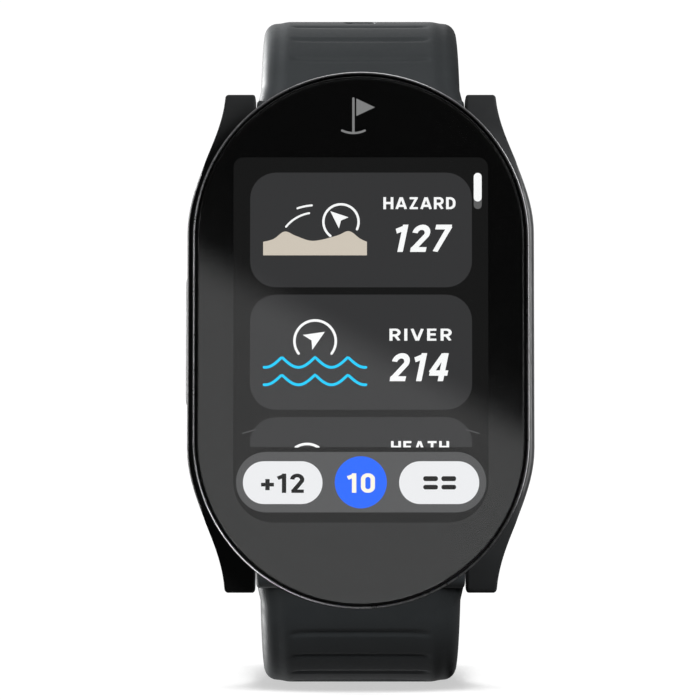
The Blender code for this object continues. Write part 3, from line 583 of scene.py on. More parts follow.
def upper_corners(left, right, top, radius, steps):
    """The two round upper corners of an outline, right one first."""
    return (arc(right - radius, top - radius, radius, 0, 90, steps)
            + arc(left + radius, top - radius, radius, 90, 180, steps))


def spanned(left, right, low, high, radius, steps=8):
    """A rounded rectangle between its sides."""
    return rounded_rect((right - left) / 2, (high - low) / 2, radius, steps,
                        (left + right) / 2, (low + high) / 2)


def circle(radius, steps, cx=0.0, cz=0.0):
    """A circle's points, without a repeated end."""
    return arc(cx, cz, radius, 0, 360, steps)[:-1]


def mirror_four(quarter):
    """A closed outline from its first quadrant, listed from +X towards +Z."""
    left = [(-x, z) for x, z in reversed(quarter)]
    lower = [(x, -z) for x, z in reversed(quarter)]
    return quarter + left + [(-x, -z) for x, z in quarter] + lower


def inset(outline, amount):
    """An anticlockwise outline moved inwards by amount."""
    moved = []
    count = len(outline)
    for i, point in enumerate(outline):
        here = Vector(point)
        before = here - Vector(outline[i - 1])
        after = Vector(outline[(i + 1) % count]) - here
        if before.length < 1e-6 or after.length < 1e-6:
            before = after = (before if before.length > after.length else after)
        before.normalize()
        after.normalize()
        along = before + after
        along.normalize()
        stretch = max(0.5, along.dot(before))
        inward = Vector((-along.y, along.x))
        moved.append(tuple(here + inward * (amount / stretch)))
    return moved


def smooth_path(points, steps):
    """A Catmull-Rom curve through points."""
    ends = [points[0], *points, points[-1]]
    path = []
    for a, b, c, d in zip(ends, ends[1:], ends[2:], ends[3:]):
        a, b, c, d = (Vector(p) for p in (a, b, c, d))
        for i in range(steps):
            t = i / steps
            path.append(tuple(0.5 * (2 * b + (c - a) * t + (2 * a - 5 * b + 4 * c - d) * t * t
                                     + (3 * b - a - 3 * c + d) * t ** 3)))
    path.append(points[-1])
    return path


def step_up(value, start, end):
    """A smooth step from 0 at start to 1 at end."""
    t = min(1.0, max(0.0, (value - start) / (end - start)))
    return t * t * (3.0 - 2.0 * t)


def rim(radius, steps=4):
    """(inset, setback) pairs of a quarter-round edge, from the flank to the face."""
    angles = [math.radians(90.0 * i / steps) for i in range(steps + 1)]
    return [(radius * (1.0 - math.cos(a)), radius * (1.0 - math.sin(a))) for a in angles]


# ---------------------------------------------------------------- solids

def loft(loops, ring=False):
    """Bridge loops of equal length; cap the two ends, or join last to first for a ring."""
    mesh = bmesh.new()
    rows = [[mesh.verts.new(point) for point in loop] for loop in loops]
    pairs = list(zip(rows, rows[1:]))
    if ring:
        pairs.append((rows[-1], rows[0]))
    else:
        mesh.faces.new(rows[0])
        mesh.faces.new(rows[-1])
    for low, high in pairs:
        for i, vertex in enumerate(low):
            j = (i + 1) % len(low)
            mesh.faces.new((vertex, low[j], high[j], high[i]))
    mesh.normal_update()
    bmesh.ops.recalc_face_normals(mesh, faces=mesh.faces)
    return mesh


def in_plan(u, v, level):
    """A plan point at a depth."""
    return (u, -level, v)


def slab(outline, low, high, radius=0.0, steps=4, place=in_plan, low_radius=None):
    """A plate between two levels with rounded rims."""
    under = radius if low_radius is None else low_radius
    edges = [(i, low + back) for i, back in reversed(rim(under, steps))] if under else [(0.0, low)]
    edges += [(i, high - back) for i, back in rim(radius, steps)] if radius else [(0.0, high)]
    return loft([[place(u, v, level) for u, v in (inset(outline, i) if i else outline)]
                 for i, level in edges])


def ring_stack(layers, ring=False):
    """A body through the bezel's outline at each (half width, depth)."""
    return loft([[in_plan(x, z, depth) for x, z in ring_outline(half)] for half, depth in layers], ring)


def turned_in_depth(profile, cx, cz, steps=40):
    """(radius, depth) pairs turned about an axis along Y."""
    return loft([[in_plan(x, z, d) for x, z in circle(r, steps, cx, cz)] for r, d in profile])


def turned_across(profile, y, z, steps=32):
    """(radius, x) pairs turned about an axis along X."""
    return loft([[(x, y + a, z + b) for a, b in circle(r, steps)] for r, x in profile])


def block(low, high):
    """An axis-aligned block, used only to cut."""
    (x0, y0, z0), (x1, y1, z1) = low, high
    return loft([[(x, y0, z0), (x, y1, z0), (x, y1, z1), (x, y0, z1)] for x in (x0, x1)])


def join(parts):
    """One mesh of several separate bodies."""
    whole = parts[0]
    for part in parts[1:]:
        spare = bpy.data.meshes.new("spare")
        part.to_mesh(spare)
        whole.from_mesh(spare)
        bpy.data.meshes.remove(spare)
        part.free()
    return whole


def placed(mesh, matrix):
    """Move a mesh drawn in a strap frame into the row frame."""
    mesh.transform(matrix)
    mesh.normal_update()
    bmesh.ops.recalc_face_normals(mesh, faces=mesh.faces)
    return mesh


# ---------------------------------------------------------------- pieces

SHARP_ANGLE = 40.0
RING_SHARP_ANGLE = 50.0


def add_object(name, data):
    """An object in the scene for mesh, light or camera data."""
    made = bpy.data.objects.new(name, data)
    bpy.context.scene.collection.objects.link(made)
    return made


def to_object(name, mesh, scale=MM):
    """An object in metres from a mesh in millimetres."""
    mesh.transform(Matrix.Scale(scale, 4))
    data = bpy.data.meshes.new(name)
    mesh.to_mesh(data)
    mesh.free()
    return add_object(name, data)


def carve(piece, operation, mesh):
    """Apply a Boolean to a piece."""
    tool = to_object("tool", mesh)
    step = piece.modifiers.new(operation, "BOOLEAN")
    step.operation = operation
    step.object = tool
    step.solver = "EXACT"
    graph = bpy.context.evaluated_depsgraph_get()
    result = bpy.data.meshes.new_from_object(piece.evaluated_get(graph))
    piece.modifiers.clear()
    piece.data = result
    bpy.data.objects.remove(tool)


def cut(piece, mesh):
    """Take a mesh away from a piece."""
    carve(piece, "DIFFERENCE", mesh)


def settle(piece, looks, body, nodes=(), sharp=SHARP_ANGLE):
    """Shade, finish and place a piece on its body, standing for its CAD nodes."""
    piece.data.shade_smooth()
    piece.data.set_sharp_from_angle(angle=math.radians(sharp))
    piece.data.materials.clear()
    for look in ([looks] if isinstance(looks, str) else looks):
        piece.data.materials.append(LOOKS[look])
    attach(piece, body)
    if nodes:
        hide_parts(*nodes)
    return piece


def piece(name, mesh, looks, body, slot, nodes=(), sharp=SHARP_ANGLE):
    """A piece straight from its mesh."""
    return settle(to_object(name, mesh), looks, body, nodes, sharp)


# ---------------------------------------------------------------- strap centreline

def strap_runs():
    """(length, radius) runs of the centreline; radius None is straight."""
    start = math.radians(STRAP_START_ANGLE)
    turn = math.radians(STRAP_START_ANGLE - STRAP_SIDE_ANGLE)
    end_run = (CREST_Z - BAR_Z - CREST_RADIUS * (1.0 - math.cos(start))) / math.sin(start)
    side = math.radians(STRAP_SIDE_ANGLE)
    back_z = CREST_Z - CREST_RADIUS * (1.0 - math.cos(side)) + SIDE_RUN * math.sin(side)
    back_radius = back_z / math.cos(side)
    return ((end_run, None), (CREST_RADIUS * turn, CREST_RADIUS), (SIDE_RUN, None),
            (math.inf, back_radius))


def strap_at(distance):
    """(y, z, heading in degrees) on the upper strap's centreline."""
    y, z, heading = BAR_Y, BAR_Z, math.radians(STRAP_START_ANGLE)
    left = distance
    for length, radius in strap_runs():
        run = min(left, length)
        left -= run
        if radius is None:
            y += run * math.cos(heading)
            z += run * math.sin(heading)
            continue
        turned = heading - run / radius
        y += radius * (math.sin(heading) - math.sin(turned))
        z += radius * (math.cos(turned) - math.cos(heading))
        heading = turned
    return y, z, math.degrees(heading)


def interpolate(pairs, distance):
    """Piecewise linear value that stays level past both ends."""
    for (d0, v0), (d1, v1) in zip(pairs, pairs[1:]):
        if distance <= d1:
            return v0 + (v1 - v0) * max(0.0, distance - d0) / (d1 - d0)
    return pairs[-1][1]


def strap_frame(distance, side):
    """Matrix of the strap's own frame: X across, Y along it, Z out of the loop."""
    y, z, heading = strap_at(distance)
    place = Matrix.Translation((0.0, y, z)) @ Matrix.Rotation(math.radians(heading), 4, "X")
    return Matrix.Scale(side, 4, (0.0, 0.0, 1.0)) @ place


# ---------------------------------------------------------------- watch head

def case_half_width(z):
    """Half width of the mid-case at a height."""
    u = min(1.0, max(0.0, (z - CASE_STRAIGHT) / (LUG_TIP_Z - CASE_STRAIGHT)))
    return CASE_HALF_WIDTH - (CASE_HALF_WIDTH - LUG_TIP_X) * (1.0 - math.cos(math.pi * u)) / 2.0


def case_level(depth, reach):
    """Plan of the mid-case at a depth: flanks, round lug tips and the gap between the lugs."""
    near = max(0.0, depth - (CASE_FRONT - CASE_EDGE)) + max(0.0, CASE_REAR + CASE_EDGE - depth)
    shrink = CASE_EDGE - math.sqrt(max(0.0, CASE_EDGE * CASE_EDGE - near * near))
    corner = LUG_CORNER
    rise = [(reach - corner) * i / FLANK_STEPS for i in range(FLANK_STEPS + 1)]
    quarter = [(case_half_width(z) - shrink, z) for z in rise]
    quarter += arc(quarter[-1][0] - corner, reach - corner, corner, 0, 90, 7)[1:]
    gap = min(LUG_GAP_Z, reach - LUG_LEAST_REACH)
    soft = min(LUG_SOFTENING, LUG_SOFT_SHARE * (reach - gap))
    quarter += arc(LUG_INNER_X + soft, reach - soft, soft, 90, 180, 5)
    quarter += arc(LUG_INNER_X - soft, gap + soft, soft, 0, -90, 5)
    return [in_plan(x, z, depth) for x, z in mirror_four(quarter)]


def mid_case():
    """Polymer shell: lug body, bezel seat, display pocket, inner space, bores and button slot."""
    shell = to_object("case_shell", loft([case_level(d, z) for d, z in smooth_path(CASE_PROFILE, 7)]))
    carve(shell, "UNION", ring_stack([(RING_HALF_WIDTH - i, d) for i, d in SEAT_SIDE]))
    past = CASE_FRONT + OVERCUT
    cut(shell, slab(ring_outline(FLANGE_HALF_WIDTH), POCKET_DEPTH, past))
    cut(shell, slab(rounded_rect(*CAVITY), -OVERCUT, past))
    cut(shell, slab(rounded_rect(*RECESS), -OVERCUT, RECESS_DEPTH))
    cut(shell, join(case_bores()))
    cut(shell, button_slot())
    settle(shell, "case", "watch_head", ["mid_case"])


def case_bores():
    """Cutters for the lug holes and for both sets of screws."""
    bores = []
    for side in (1, -1):
        reach = [(LUG_HOLE_RADIUS, -LUG_HOLE_REACH), (LUG_HOLE_RADIUS, LUG_HOLE_REACH)]
        bores.append(turned_across(reach, BAR_Y, side * BAR_Z))
        for flank in (1, -1):
            for (x, z), bore in ((BACK_SCREW, BACK_SCREW_BORE), (TRAY_SCREW, TRAY_SCREW_BORE)):
                bores.append(turned_in_depth(bore, flank * x, side * z, 24))
    return bores


def button_outline(half_length, half_height, steps=16):
    """The side button's outline as (y, z) points."""
    return [(y - BUTTON_DEPTH, z) for y, z in stadium(half_height, half_length, steps)]


def button_slot():
    """Stepped cutter for the button's recess with a broken edge, its seal seat and stem hole."""
    loops = [(BUTTON_HALF_LENGTH + gap, BUTTON_HALF_HEIGHT + gap, x) for gap, x in BUTTON_SLOT]
    start = BUTTON_FLOOR_X
    for radius, end in (SEAL_SEAT, STEM_HOLE):
        loops += [(radius, radius - NEARLY, start), (radius, radius - NEARLY, end)]
        start = end
    return across_loft(loops)


def across_loft(loops):
    """A body through button outlines of (half length, half height) at each distance to the left."""
    return loft([[(-x, y, z) for y, z in button_outline(length, height)] for length, height, x in loops])


def side_button():
    """Long soft-edged button cap with its stem."""
    face = -BUTTON_LOW.x
    loops = [(BUTTON_HALF_LENGTH - i, BUTTON_HALF_HEIGHT - i, face - back) for i, back in BUTTON_CROWN]
    loops += [(BUTTON_HALF_LENGTH, BUTTON_HALF_HEIGHT, BUTTON_BACK_X),
              (STEM_RADIUS, STEM_RADIUS - NEARLY, BUTTON_BACK_X),
              (STEM_RADIUS, STEM_RADIUS - NEARLY, STEM_END_X)]
    piece("button_cap", across_loft(loops), "button", "side_button", "button", ["side_button"])


def bezel():
    """Metal ring: coated flank and flange, with a polished lip round the glass."""
    layers = [(RING_HALF_WIDTH - i, d) for i, d in RING_EDGE]
    layers += [(LIP_HALF_WIDTH + i, d) for i, d in LIP_EDGE]
    layers += [(FLANGE_HALF_WIDTH, FLANGE_FRONT), (FLANGE_HALF_WIDTH, RING_BACK)]
    ring = piece("bezel_ring_fine", ring_stack(layers, True), ["ring_side", "ring_lip"], "watch_head",
                 "bezel", ["bezel_ring"], RING_SHARP_ANGLE)
    for face in ring.data.polygons:
        middle = -face.center.y / MM
        wide = max(abs(ring.data.vertices[v].co.y) for v in face.vertices) / MM
        face.material_index = int(middle > RING_FRONT - LIP_REACH and wide > RING_FRONT - LIP_BREAK)


def cover_glass():
    """Clear cover glass with a rounded edge, and the black printed border behind it."""
    mesh = ring_stack([(GLASS_HALF_WIDTH - i, d) for i, d in GLASS_EDGE])
    piece("glass_clear", mesh, "glass", "watch_head", "glass", ["cover_glass"])
    outline = ring_outline(GLASS_HALF_WIDTH - BORDER_INSET)
    plate = to_object("screen_border", slab(outline, BORDER_BACK, BORDER_FRONT))
    cut(plate, slab(lit_window(), BORDER_BACK - OVERCUT, BORDER_FRONT + OVERCUT))
    settle(plate, "border", "watch_head")


def lit_window():
    """Outline of the clear window in the border: tight upper corners and wide lower ones."""
    x, z = LIT_HALF_WIDTH, LIT_HALF_HEIGHT
    low = LIT_LOW_CORNER
    return (upper_corners(-x, x, z, LIT_TOP_CORNER, 8)
            + arc(low - x, low - z, low, 180, 270, 16) + arc(x - low, low - z, low, 270, 360, 16))


def case_back():
    """Rear cover with soft rims round its edge, its screw wells and its contact holes."""
    half_x, half_z = BACK_HIGH.x, BACK_HIGH.z
    outline = rounded_rect(half_x, half_z, BACK_CORNER, 12)
    plate = slab(outline, -BACK_HIGH.y, -BACK_LOW.y, BACK_RIM, 2, low_radius=BACK_OUTER_RIM)
    cover = to_object("back_cover", plate)
    x, z = BACK_SCREW
    cuts = [turned_in_depth(SCREW_WELL, flank * x, side * z, 36) for flank in (1, -1) for side in (1, -1)]
    cuts += [turned_in_depth(CONTACT_HOLE, x, CONTACT_Z, 36) for x in CONTACT_X]
    margin, half_height, corner, middle = LABEL
    outer = rounded_rect(half_x - margin, half_height, corner, 12, 0.0, middle)
    groove = [[in_plan(u, v, d) for u, v in inset(outer, i)] for i, d in LABEL_GROOVE]
    cut(cover, join(cuts))
    cut(cover, loft(groove, ring=True))
    settle(cover, "case_back", "watch_head", ["case_back"])


def back_hardware():
    """Case-back screws with six-lobe drives, and domed charging contacts."""
    points = 8 * DRIVE_LOBES
    for number, (flank, side) in enumerate(((1, 1), (-1, 1), (-1, -1), (1, -1)), start=1):
        x, z = flank * BACK_SCREW[0], side * BACK_SCREW[1]
        screw = to_object(f"back_screw_{number}_fine", turned_in_depth(SCREW_SIDE, x, z, 40))
        star = []
        for i in range(points):
            angle = math.tau * i / points
            radius = DRIVE_RADIUS + DRIVE_SWING * math.cos(DRIVE_LOBES * angle)
            star.append((x + radius * math.cos(angle), z + radius * math.sin(angle)))
        cut(screw, slab(star, -DRIVE_DEPTH, DRIVE_DEPTH))
        settle(screw, "screw", "watch_head", [f"back_screw_{number}"])
    for number, x in enumerate(CONTACT_X, start=1):
        piece(f"charging_pin_{number}", turned_in_depth(CONTACT_DOME, x, CONTACT_Z), "contact",
              "watch_head", "contact", [f"charging_contact_{number}"])


# ---------------------------------------------------------------- display picture

SCREEN_LAYER = 0.012
SCREEN_FILM = SCREEN_LAYER * 0.8
SCREEN_FOOT = 0.6
WAVE_STEPS = 72
CARD_SIDES = (-11.3, 11.35)
CARD_CORNER = 2.65
BAR_SIDES = (-12.7, 12.77)
PILL_LEVELS = (-16.75, -12.4)
WORD_HEIGHT = 1.23
MARK_BACK = GLASS_BACK - 0.018


def on_screen(name, outlines, look, layer):
    """Flat lit shapes on a layer above the display's face."""
    low = PANEL_FRONT + SCREEN_LAYER * (layer - SCREEN_FOOT)
    shapes = [slab(outline, low, low + SCREEN_FILM) for outline in outlines]
    piece(name, join(shapes), look, "watch_head", "display")


def stroke(points, width):
    """An outline of even width round a path, with round ends."""
    half = width / 2
    path = [Vector(p) for p in points]
    sides = []
    for i, point in enumerate(path):
        along = path[min(i + 1, len(path) - 1)] - path[max(i - 1, 0)]
        along.normalize()
        sides.append(Vector((-along.y, along.x)) * half)
    left = [tuple(p + s) for p, s in zip(path, sides)]
    right = [tuple(p - s) for p, s in zip(path, sides)]
    start = math.degrees(math.atan2(sides[0].y, sides[0].x))
    end = math.degrees(math.atan2(-sides[-1].y, -sides[-1].x))
    nose = arc(path[-1].x, path[-1].y, half, end, end + 180, 8)[1:-1]
    tail = arc(path[0].x, path[0].y, half, start, start + 180, 8)[1:-1]
    return right + nose + left[::-1] + tail


# Characters on a body one unit high: width, then the pen's centreline strokes
PEN = 0.19
CHARACTERS = {
    "H": (0.72, [[(0.10, 0.0), (0.10, 1.0)], [(0.62, 0.0), (0.62, 1.0)], [(0.10, 0.51), (0.62, 0.51)]]),
    "A": (0.78, [[(0.07, 0.0), (0.37, 1.0)], [(0.71, 0.0), (0.41, 1.0)], [(0.18, 0.28), (0.60, 0.28)]]),
    "Z": (0.66, [[(0.05, 0.92), (0.61, 0.92)], [(0.11, 0.0), (0.56, 1.0)], [(0.05, 0.08), (0.63, 0.08)]]),
    "I": (0.20, [[(0.10, 0.0), (0.10, 1.0)]]),
    "V": (0.78, [[(0.07, 1.0), (0.37, 0.0)], [(0.71, 1.0), (0.41, 0.0)]]),
    "E": (0.62, [[(0.10, 0.0), (0.10, 1.0)], [(0.10, 0.92), (0.58, 0.92)], [(0.10, 0.52), (0.54, 0.52)],
                 [(0.10, 0.08), (0.58, 0.08)]]),
    "T": (0.68, [[(0.34, 0.0), (0.34, 1.0)], [(0.02, 0.92), (0.66, 0.92)]]),
    "R": (0.70, [[(0.10, 0.0), (0.10, 1.0)],
                 [(0.10, 0.92), (0.34, 0.92)] + arc(0.36, 0.68, 0.24, 80, -80, 10)
                 + [(0.34, 0.44), (0.10, 0.44)],
                 [(0.36, 0.44), (0.60, 0.0)]]),
    "D": (0.70, [[(0.10, 0.0), (0.10, 1.0)],
                 [(0.10, 0.92), (0.24, 0.92)] + arc(0.24, 0.58, 0.34, 80, 0, 8)
                 + arc(0.24, 0.42, 0.34, 0, -80, 8) + [(0.24, 0.08), (0.10, 0.08)]]),
    "0": (0.62, [[(0.10, 0.5)] + arc(0.31, 0.70, 0.21, 180, 0, 14) + arc(0.31, 0.30, 0.21, 0, -180, 14)
                 + [(0.10, 0.5)]]),
    "1": (0.50, [[(0.33, 0.0), (0.33, 1.0)], [(0.05, 0.76), (0.36, 0.90)]]),
    "2": (0.62, [arc(0.31, 0.69, 0.215, 178, -22, 16) + [(0.12, 0.06)], [(0.06, 0.08), (0.60, 0.08)]]),
    "4": (0.68, [[(0.46, 0.0), (0.46, 1.0)], [(0.40, 0.98), (0.08, 0.30)], [(0.03, 0.29), (0.66, 0.29)]]),
    "7": (0.60, [[(0.03, 0.92), (0.58, 0.92)], [(0.52, 0.95), (0.19, 0.0)]]),
    "+": (0.60, [[(0.30, 0.14), (0.30, 0.72)], [(0.02, 0.43), (0.58, 0.43)]]),
}


def pen_stroke(points, width):
    """An outline of even width round a path, with square ends and mitred corners."""
    half = width / 2
    path = [Vector(p) for p in points]
    left = []
    right = []
    for i, point in enumerate(path):
        before = (point - path[i - 1]).normalized() if i else (path[1] - point).normalized()
        after = (path[i + 1] - point).normalized() if i < len(path) - 1 else before
        along = (before + after).normalized()
        across = Vector((-along.y, along.x)) * (half / max(0.6, along.dot(before)))
        left.append(point + across)
        right.append(point - across)
    return [tuple(p) for p in right + left[::-1]]


def lettering(name, words, look, left, right, baseline, height, slant=0.0, layer=3, clip=None, space=0.16):
    """Block characters fitted between two sides, standing on a baseline."""
    low = PANEL_FRONT + SCREEN_LAYER * (layer - SCREEN_FOOT)
    total = sum(CHARACTERS[c][0] for c in words) + space * (len(words) - 1) + slant
    scale = (right - left) / total
    start = 0.0
    whole = None
    for character in words:
        width, strokes = CHARACTERS[character]
        for points in strokes:
            outline = [(left + (start + u + slant * v) * scale, baseline + v * height)
                       for u, v in pen_stroke(points, PEN)]
            trimmed = [(u, min(max(v, baseline), baseline + height)) for u, v in outline]
            solid = slab(trimmed, low, low + SCREEN_FILM)
            if whole is None:
                whole = to_object(name, solid)
            else:
                carve(whole, "UNION", solid)
        start += width + space
    if clip is not None:
        window = spanned(left - 1, right + 1, clip, baseline + height + 1, 0.1, 1)
        carve(whole, "INTERSECT", slab(window, PANEL_FRONT - OVERCUT, PANEL_FRONT + OVERCUT))
    settle(whole, look, "watch_head")


def waves(low, amplitude, cusps, start, end):
    """A line of round-bottomed waves whose crests are pointed."""
    points = []
    for i in range(WAVE_STEPS + 1):
        x = start + (end - start) * i / WAVE_STEPS
        span = next(((a, b) for a, b in zip(cusps, cusps[1:]) if a <= x <= b), None)
        t = (x - span[0]) / (span[1] - span[0])
        points.append((x, low + amplitude * (1.0 - math.sin(math.pi * t))))
    return points


def screen_picture():
    """Cards, icons and the control bar, as thin lit layers under the glass."""
    on_screen("screen_cards", [spanned(*CARD_SIDES, 5.35, 17.1, CARD_CORNER),
                               spanned(*CARD_SIDES, -7.15, 4.6, CARD_CORNER), third_card()], "card", 1)
    on_screen("screen_arc", horizon_lines(), "line", 1)
    on_screen("screen_scroll_tail", [spanned(11.55, 12.36, 13.37, 16.0, 0.4)], "grey", 1)
    on_screen("screen_scroll", [spanned(11.55, 12.36, 14.14, 17.07, 0.4)], "white", 2)
    on_screen("screen_sand", [sand_shape()], "sand", 3)
    rings = [stroke(arc(-2.02, 12.05, 1.8, -25, 233, 40), 0.24),
             stroke(arc(-4.66, -0.15, 2.11, -37, 217, 44), 0.26)]
    swings = [stroke(arc(-4.6, 9.1, 3.9, 141, 100, 10), 0.2), stroke(arc(-4.6, 8.0, 5.75, 109, 94, 6), 0.2)]
    arrows = [[(-2.23, 11.37), (-2.02, 12.19), (-1.25, 12.52), (-3.11, 13.14)],
              [(-3.66, 0.80), (-5.93, 0.48), (-5.03, -0.08), (-4.95, -1.05)]]
    third = [stroke(arc(-5.47, -12.75, 2.11, 57, 123, 16), 0.26)]
    on_screen("screen_icons", rings + swings + arrows + third, "white", 3)
    cusps = (-11.4, -8.05, -4.66, -1.31, 2.1)
    on_screen("screen_waves", [stroke(waves(-2.83, 1.04, cusps, -9.86, 0.52), 0.28),
                               stroke(waves(-4.61, 1.02, cusps, -9.86, 0.52), 0.28)], "cyan", 3)
    on_screen("screen_bar_shade", [spanned(*BAR_SIDES, -18.5, -11.0, 3.4, 12)], "bar_shade", 4)
    on_screen("screen_bar", [spanned(*BAR_SIDES, -17.6, -11.45, 3.05, 12)], "bar", 5)
    on_screen("screen_pills", [spanned(left, right, *PILL_LEVELS, 2.15, 12)
                               for left, right in ((-12.0, -3.9), (3.9, 12.05))], "pill", 6)
    on_screen("screen_badge", [circle(2.65, 64, 0.0, -14.54)], "blue", 6)
    dashes = [spanned(x0, x1, z0, z1, 0.22, 4) for x0, x1 in ((6.35, 7.85), (8.2, 9.7))
              for z0, z1 in ((-14.42, -13.92), (-15.27, -14.8))]
    on_screen("screen_dashes", dashes, "ink", 7)
    lettering("screen_word_hazard", "HAZARD", "white", 2.3, 9.72, 13.35, WORD_HEIGHT)
    lettering("screen_word_river", "RIVER", "white", 2.92, 9.28, -0.11, WORD_HEIGHT, space=0.22)
    lettering("screen_word_heath", "HEATH", "white", 3.07, 9.0, -11.57, WORD_HEIGHT, clip=-10.98)
    lettering("screen_number_127", "127", "white", 3.04, 9.38, 8.97, 2.79, 0.2, space=0.12)
    lettering("screen_number_214", "214", "white", 2.76, 9.34, -4.24, 2.86, 0.2, space=0.12)
    lettering("screen_score", "+12", "ink", -10.2, -5.75, -15.62, 1.96, layer=7, space=0.09)
    lettering("screen_hole", "10", "cream", -1.45, 1.45, -15.6, 1.97, layer=7, space=0.12)


def third_card():
    """The third card's upper edge, cut off by the control bar."""
    top, bottom = -7.9, -10.95
    return upper_corners(*CARD_SIDES, top, CARD_CORNER, 8) + [(side, bottom) for side in CARD_SIDES]


def horizon_lines():
    """Two thin arcs that show beside the third card."""
    radius, cz = 42.0, -49.8
    return [stroke(arc(0.0, cz, radius, start, end, 6), 0.1) for start, end in ((106.7, 104.8), (75.2, 73.3))]


def sand_shape():
    """Sand dune with two crests."""
    skyline = smooth_path([(0.63, 10.0), (-0.1, 10.35), (-1.21, 11.1), (-2.5, 10.62), (-4.86, 10.1),
                           (-6.6, 10.6), (-7.77, 11.06), (-8.9, 10.3), (-9.97, 10.0)], 6)
    return [(-9.97, 8.62), (0.63, 8.62)] + skyline


def glowing_border_mark():
    """Plain pennant mark printed above the display, drawn glowing at a fixed grey: painted light in place of
    print lit by the lamps.
    """
    pole = stroke([(-0.75, 21.2), (-0.75, 24.7)], 0.24)
    flag = [(-0.45, 24.7), (-0.45, 22.9), (1.45, 23.8)]
    base = stroke(arc(-0.75, 23.9, 2.75, 245, 295, 10), 0.22)
    shapes = [slab(outline, MARK_BACK, MARK_BACK + SCREEN_LAYER) for outline in (pole, flag, base)]
    piece("border_pennant", join(shapes), "mark", "watch_head", "display")


# ---------------------------------------------------------------- straps

def groove_depth(distance, x, grooves, panel):
    """Depth of the cross grooves at a point of the strap's panel."""
    share = 0.0
    bow = GROOVE_BOW * (abs(x) / panel) ** 6
    for centre in grooves:
        across = abs(distance - centre - bow) / GROOVE_HALF_WIDTH
        if across < 1.0:
            share = max(share, step_up(1.0 - across, 0.0, GROOVE_FLANK))
    margin, fade = GROOVE_FADE
    return GROOVE_DEPTH * share * step_up(panel - margin - abs(x), 0.0, fade)


def strap_section(distance, length, grooves):
    """Fine strap section: raised grooved panel and round edges."""
    half = interpolate(STRAP_HALF_WIDTH, distance)
    thick = interpolate(STRAP_HALF_THICKNESS, distance)
    if length == LOWER_LENGTH:
        past = max(0.0, distance - (length - TIP_TAPER)) / TIP_TAPER
        half *= math.sqrt(1.0 - TIP_ROUNDING * past * past)
    edge = thick - STRAP_CROWN
    radius = min(STRAP_EDGE_RADIUS, half / 3)
    outer = [(half - i, edge - back) for i, back in rim(radius, 6)]
    foot = half - radius
    crown = max(STRAP_LEAST_CROWN, foot - STRAP_SHOULDER)
    outer += [(foot + (crown - foot) * t, edge + STRAP_CROWN * step_up(t, 0.0, 1.0))
              for t in STRAP_SHOULDER_STEPS]
    columns = [crown * share for share in STRAP_COLUMNS]
    outer += [(x, thick - groove_depth(distance, x, grooves, crown)) for x in columns]
    centre = [(0.0, thick - groove_depth(distance, 0.0, grooves, crown))]
    outer += centre + [(-x, n) for x, n in reversed(outer)]
    inner = [(half - i, back - thick) for i, back in rim(min(STRAP_INNER_RADIUS, half / 3), 5)]
    inner += [(half / 2, -thick)]
    return outer + [(-x, n) for x, n in inner] + [(0.0, -thick)] + inner[::-1]


def strap_band(length, side, grooves):
    """The fine band without its end barrels."""
    count = math.ceil(length / STRAP_STEP)
    loops = []
    for i in range(count + 1):
        distance = length * i / count
        matrix = strap_frame(distance, side)
        loops.append([matrix @ Vector((x, 0.0, n)) for x, n in strap_section(distance, length, grooves)])
    return loft(loops)


def oblong_holes(distances, side):
    """Cutters for a row of oblong holes whose outer edges are rounded."""
    cutters = []
    for distance in distances:
        thick = interpolate(STRAP_HALF_THICKNESS, distance)
        layers = [(0.0, -HOLE_REACH)] + [(i, thick + rise) for i, rise in HOLE_RIM]
        outline = rounded_rect(HOLE_HALF_WIDTH, HOLE_HALF_LENGTH, HOLE_HALF_LENGTH - HOLE_FLAT, 8)
        cutter = loft([[(x, t, n) for x, t in (inset(outline, i) if i else outline)] for i, n in layers])
        cutters.append(placed(cutter, strap_frame(distance, side)))
    return cutters


def lever_slot(side, half_width, depth):
    """Cutter for the release lever's slot."""
    left = LEVER_X - LEVER_RADIUS - RELEASE_TRAVEL - LEVER_CLEARANCE
    right = LEVER_X + LEVER_RADIUS + LEVER_CLEARANCE
    return placed(block((left, -half_width, -depth), (right, half_width, 0.0)), strap_frame(0.0, side))


def barrel(radius, half_width, edge, steps=4):
    """(radius, x) pairs of a barrel with round edges, from left to right."""
    ends = rim(edge, steps)
    left = [(radius - i, back - half_width) for i, back in reversed(ends)]
    return left + [(radius - i, half_width - back) for i, back in ends]


def through(radius, half_width):
    """(radius, x) pairs of a bore that passes both ends of a barrel."""
    return [(radius, -half_width - OVERCUT), (radius, half_width + OVERCUT)]


def strap(name, node, length, side, holes):
    """One strap with its spring-bar barrel, bore, lever slot, grooves and holes."""
    count = int((GROOVE_END - GROOVE_START) / GROOVE_PITCH) + 1
    grooves = [GROOVE_START + GROOVE_PITCH * i for i in range(count)]
    grooves = [g for g in grooves if all(abs(g - hole) > GROOVE_PITCH / 2 for hole in holes)]
    axis = (BAR_Y, side * BAR_Z)
    band = to_object(name, strap_band(length, side, grooves))
    carve(band, "UNION", turned_across(barrel(BARREL_RADIUS, BARREL_HALF_WIDTH, BARREL_RIM), *axis, 48))
    cut(band, turned_across(through(BAR_RADIUS + BAR_CLEARANCE, BARREL_HALF_WIDTH), *axis))
    cut(band, lever_slot(side, *STRAP_SLOT))
    cut(band, join(oblong_holes(holes, side)))
    if side > 0:
        buckle_end(band)
    settle(band, "strap", node, [node])


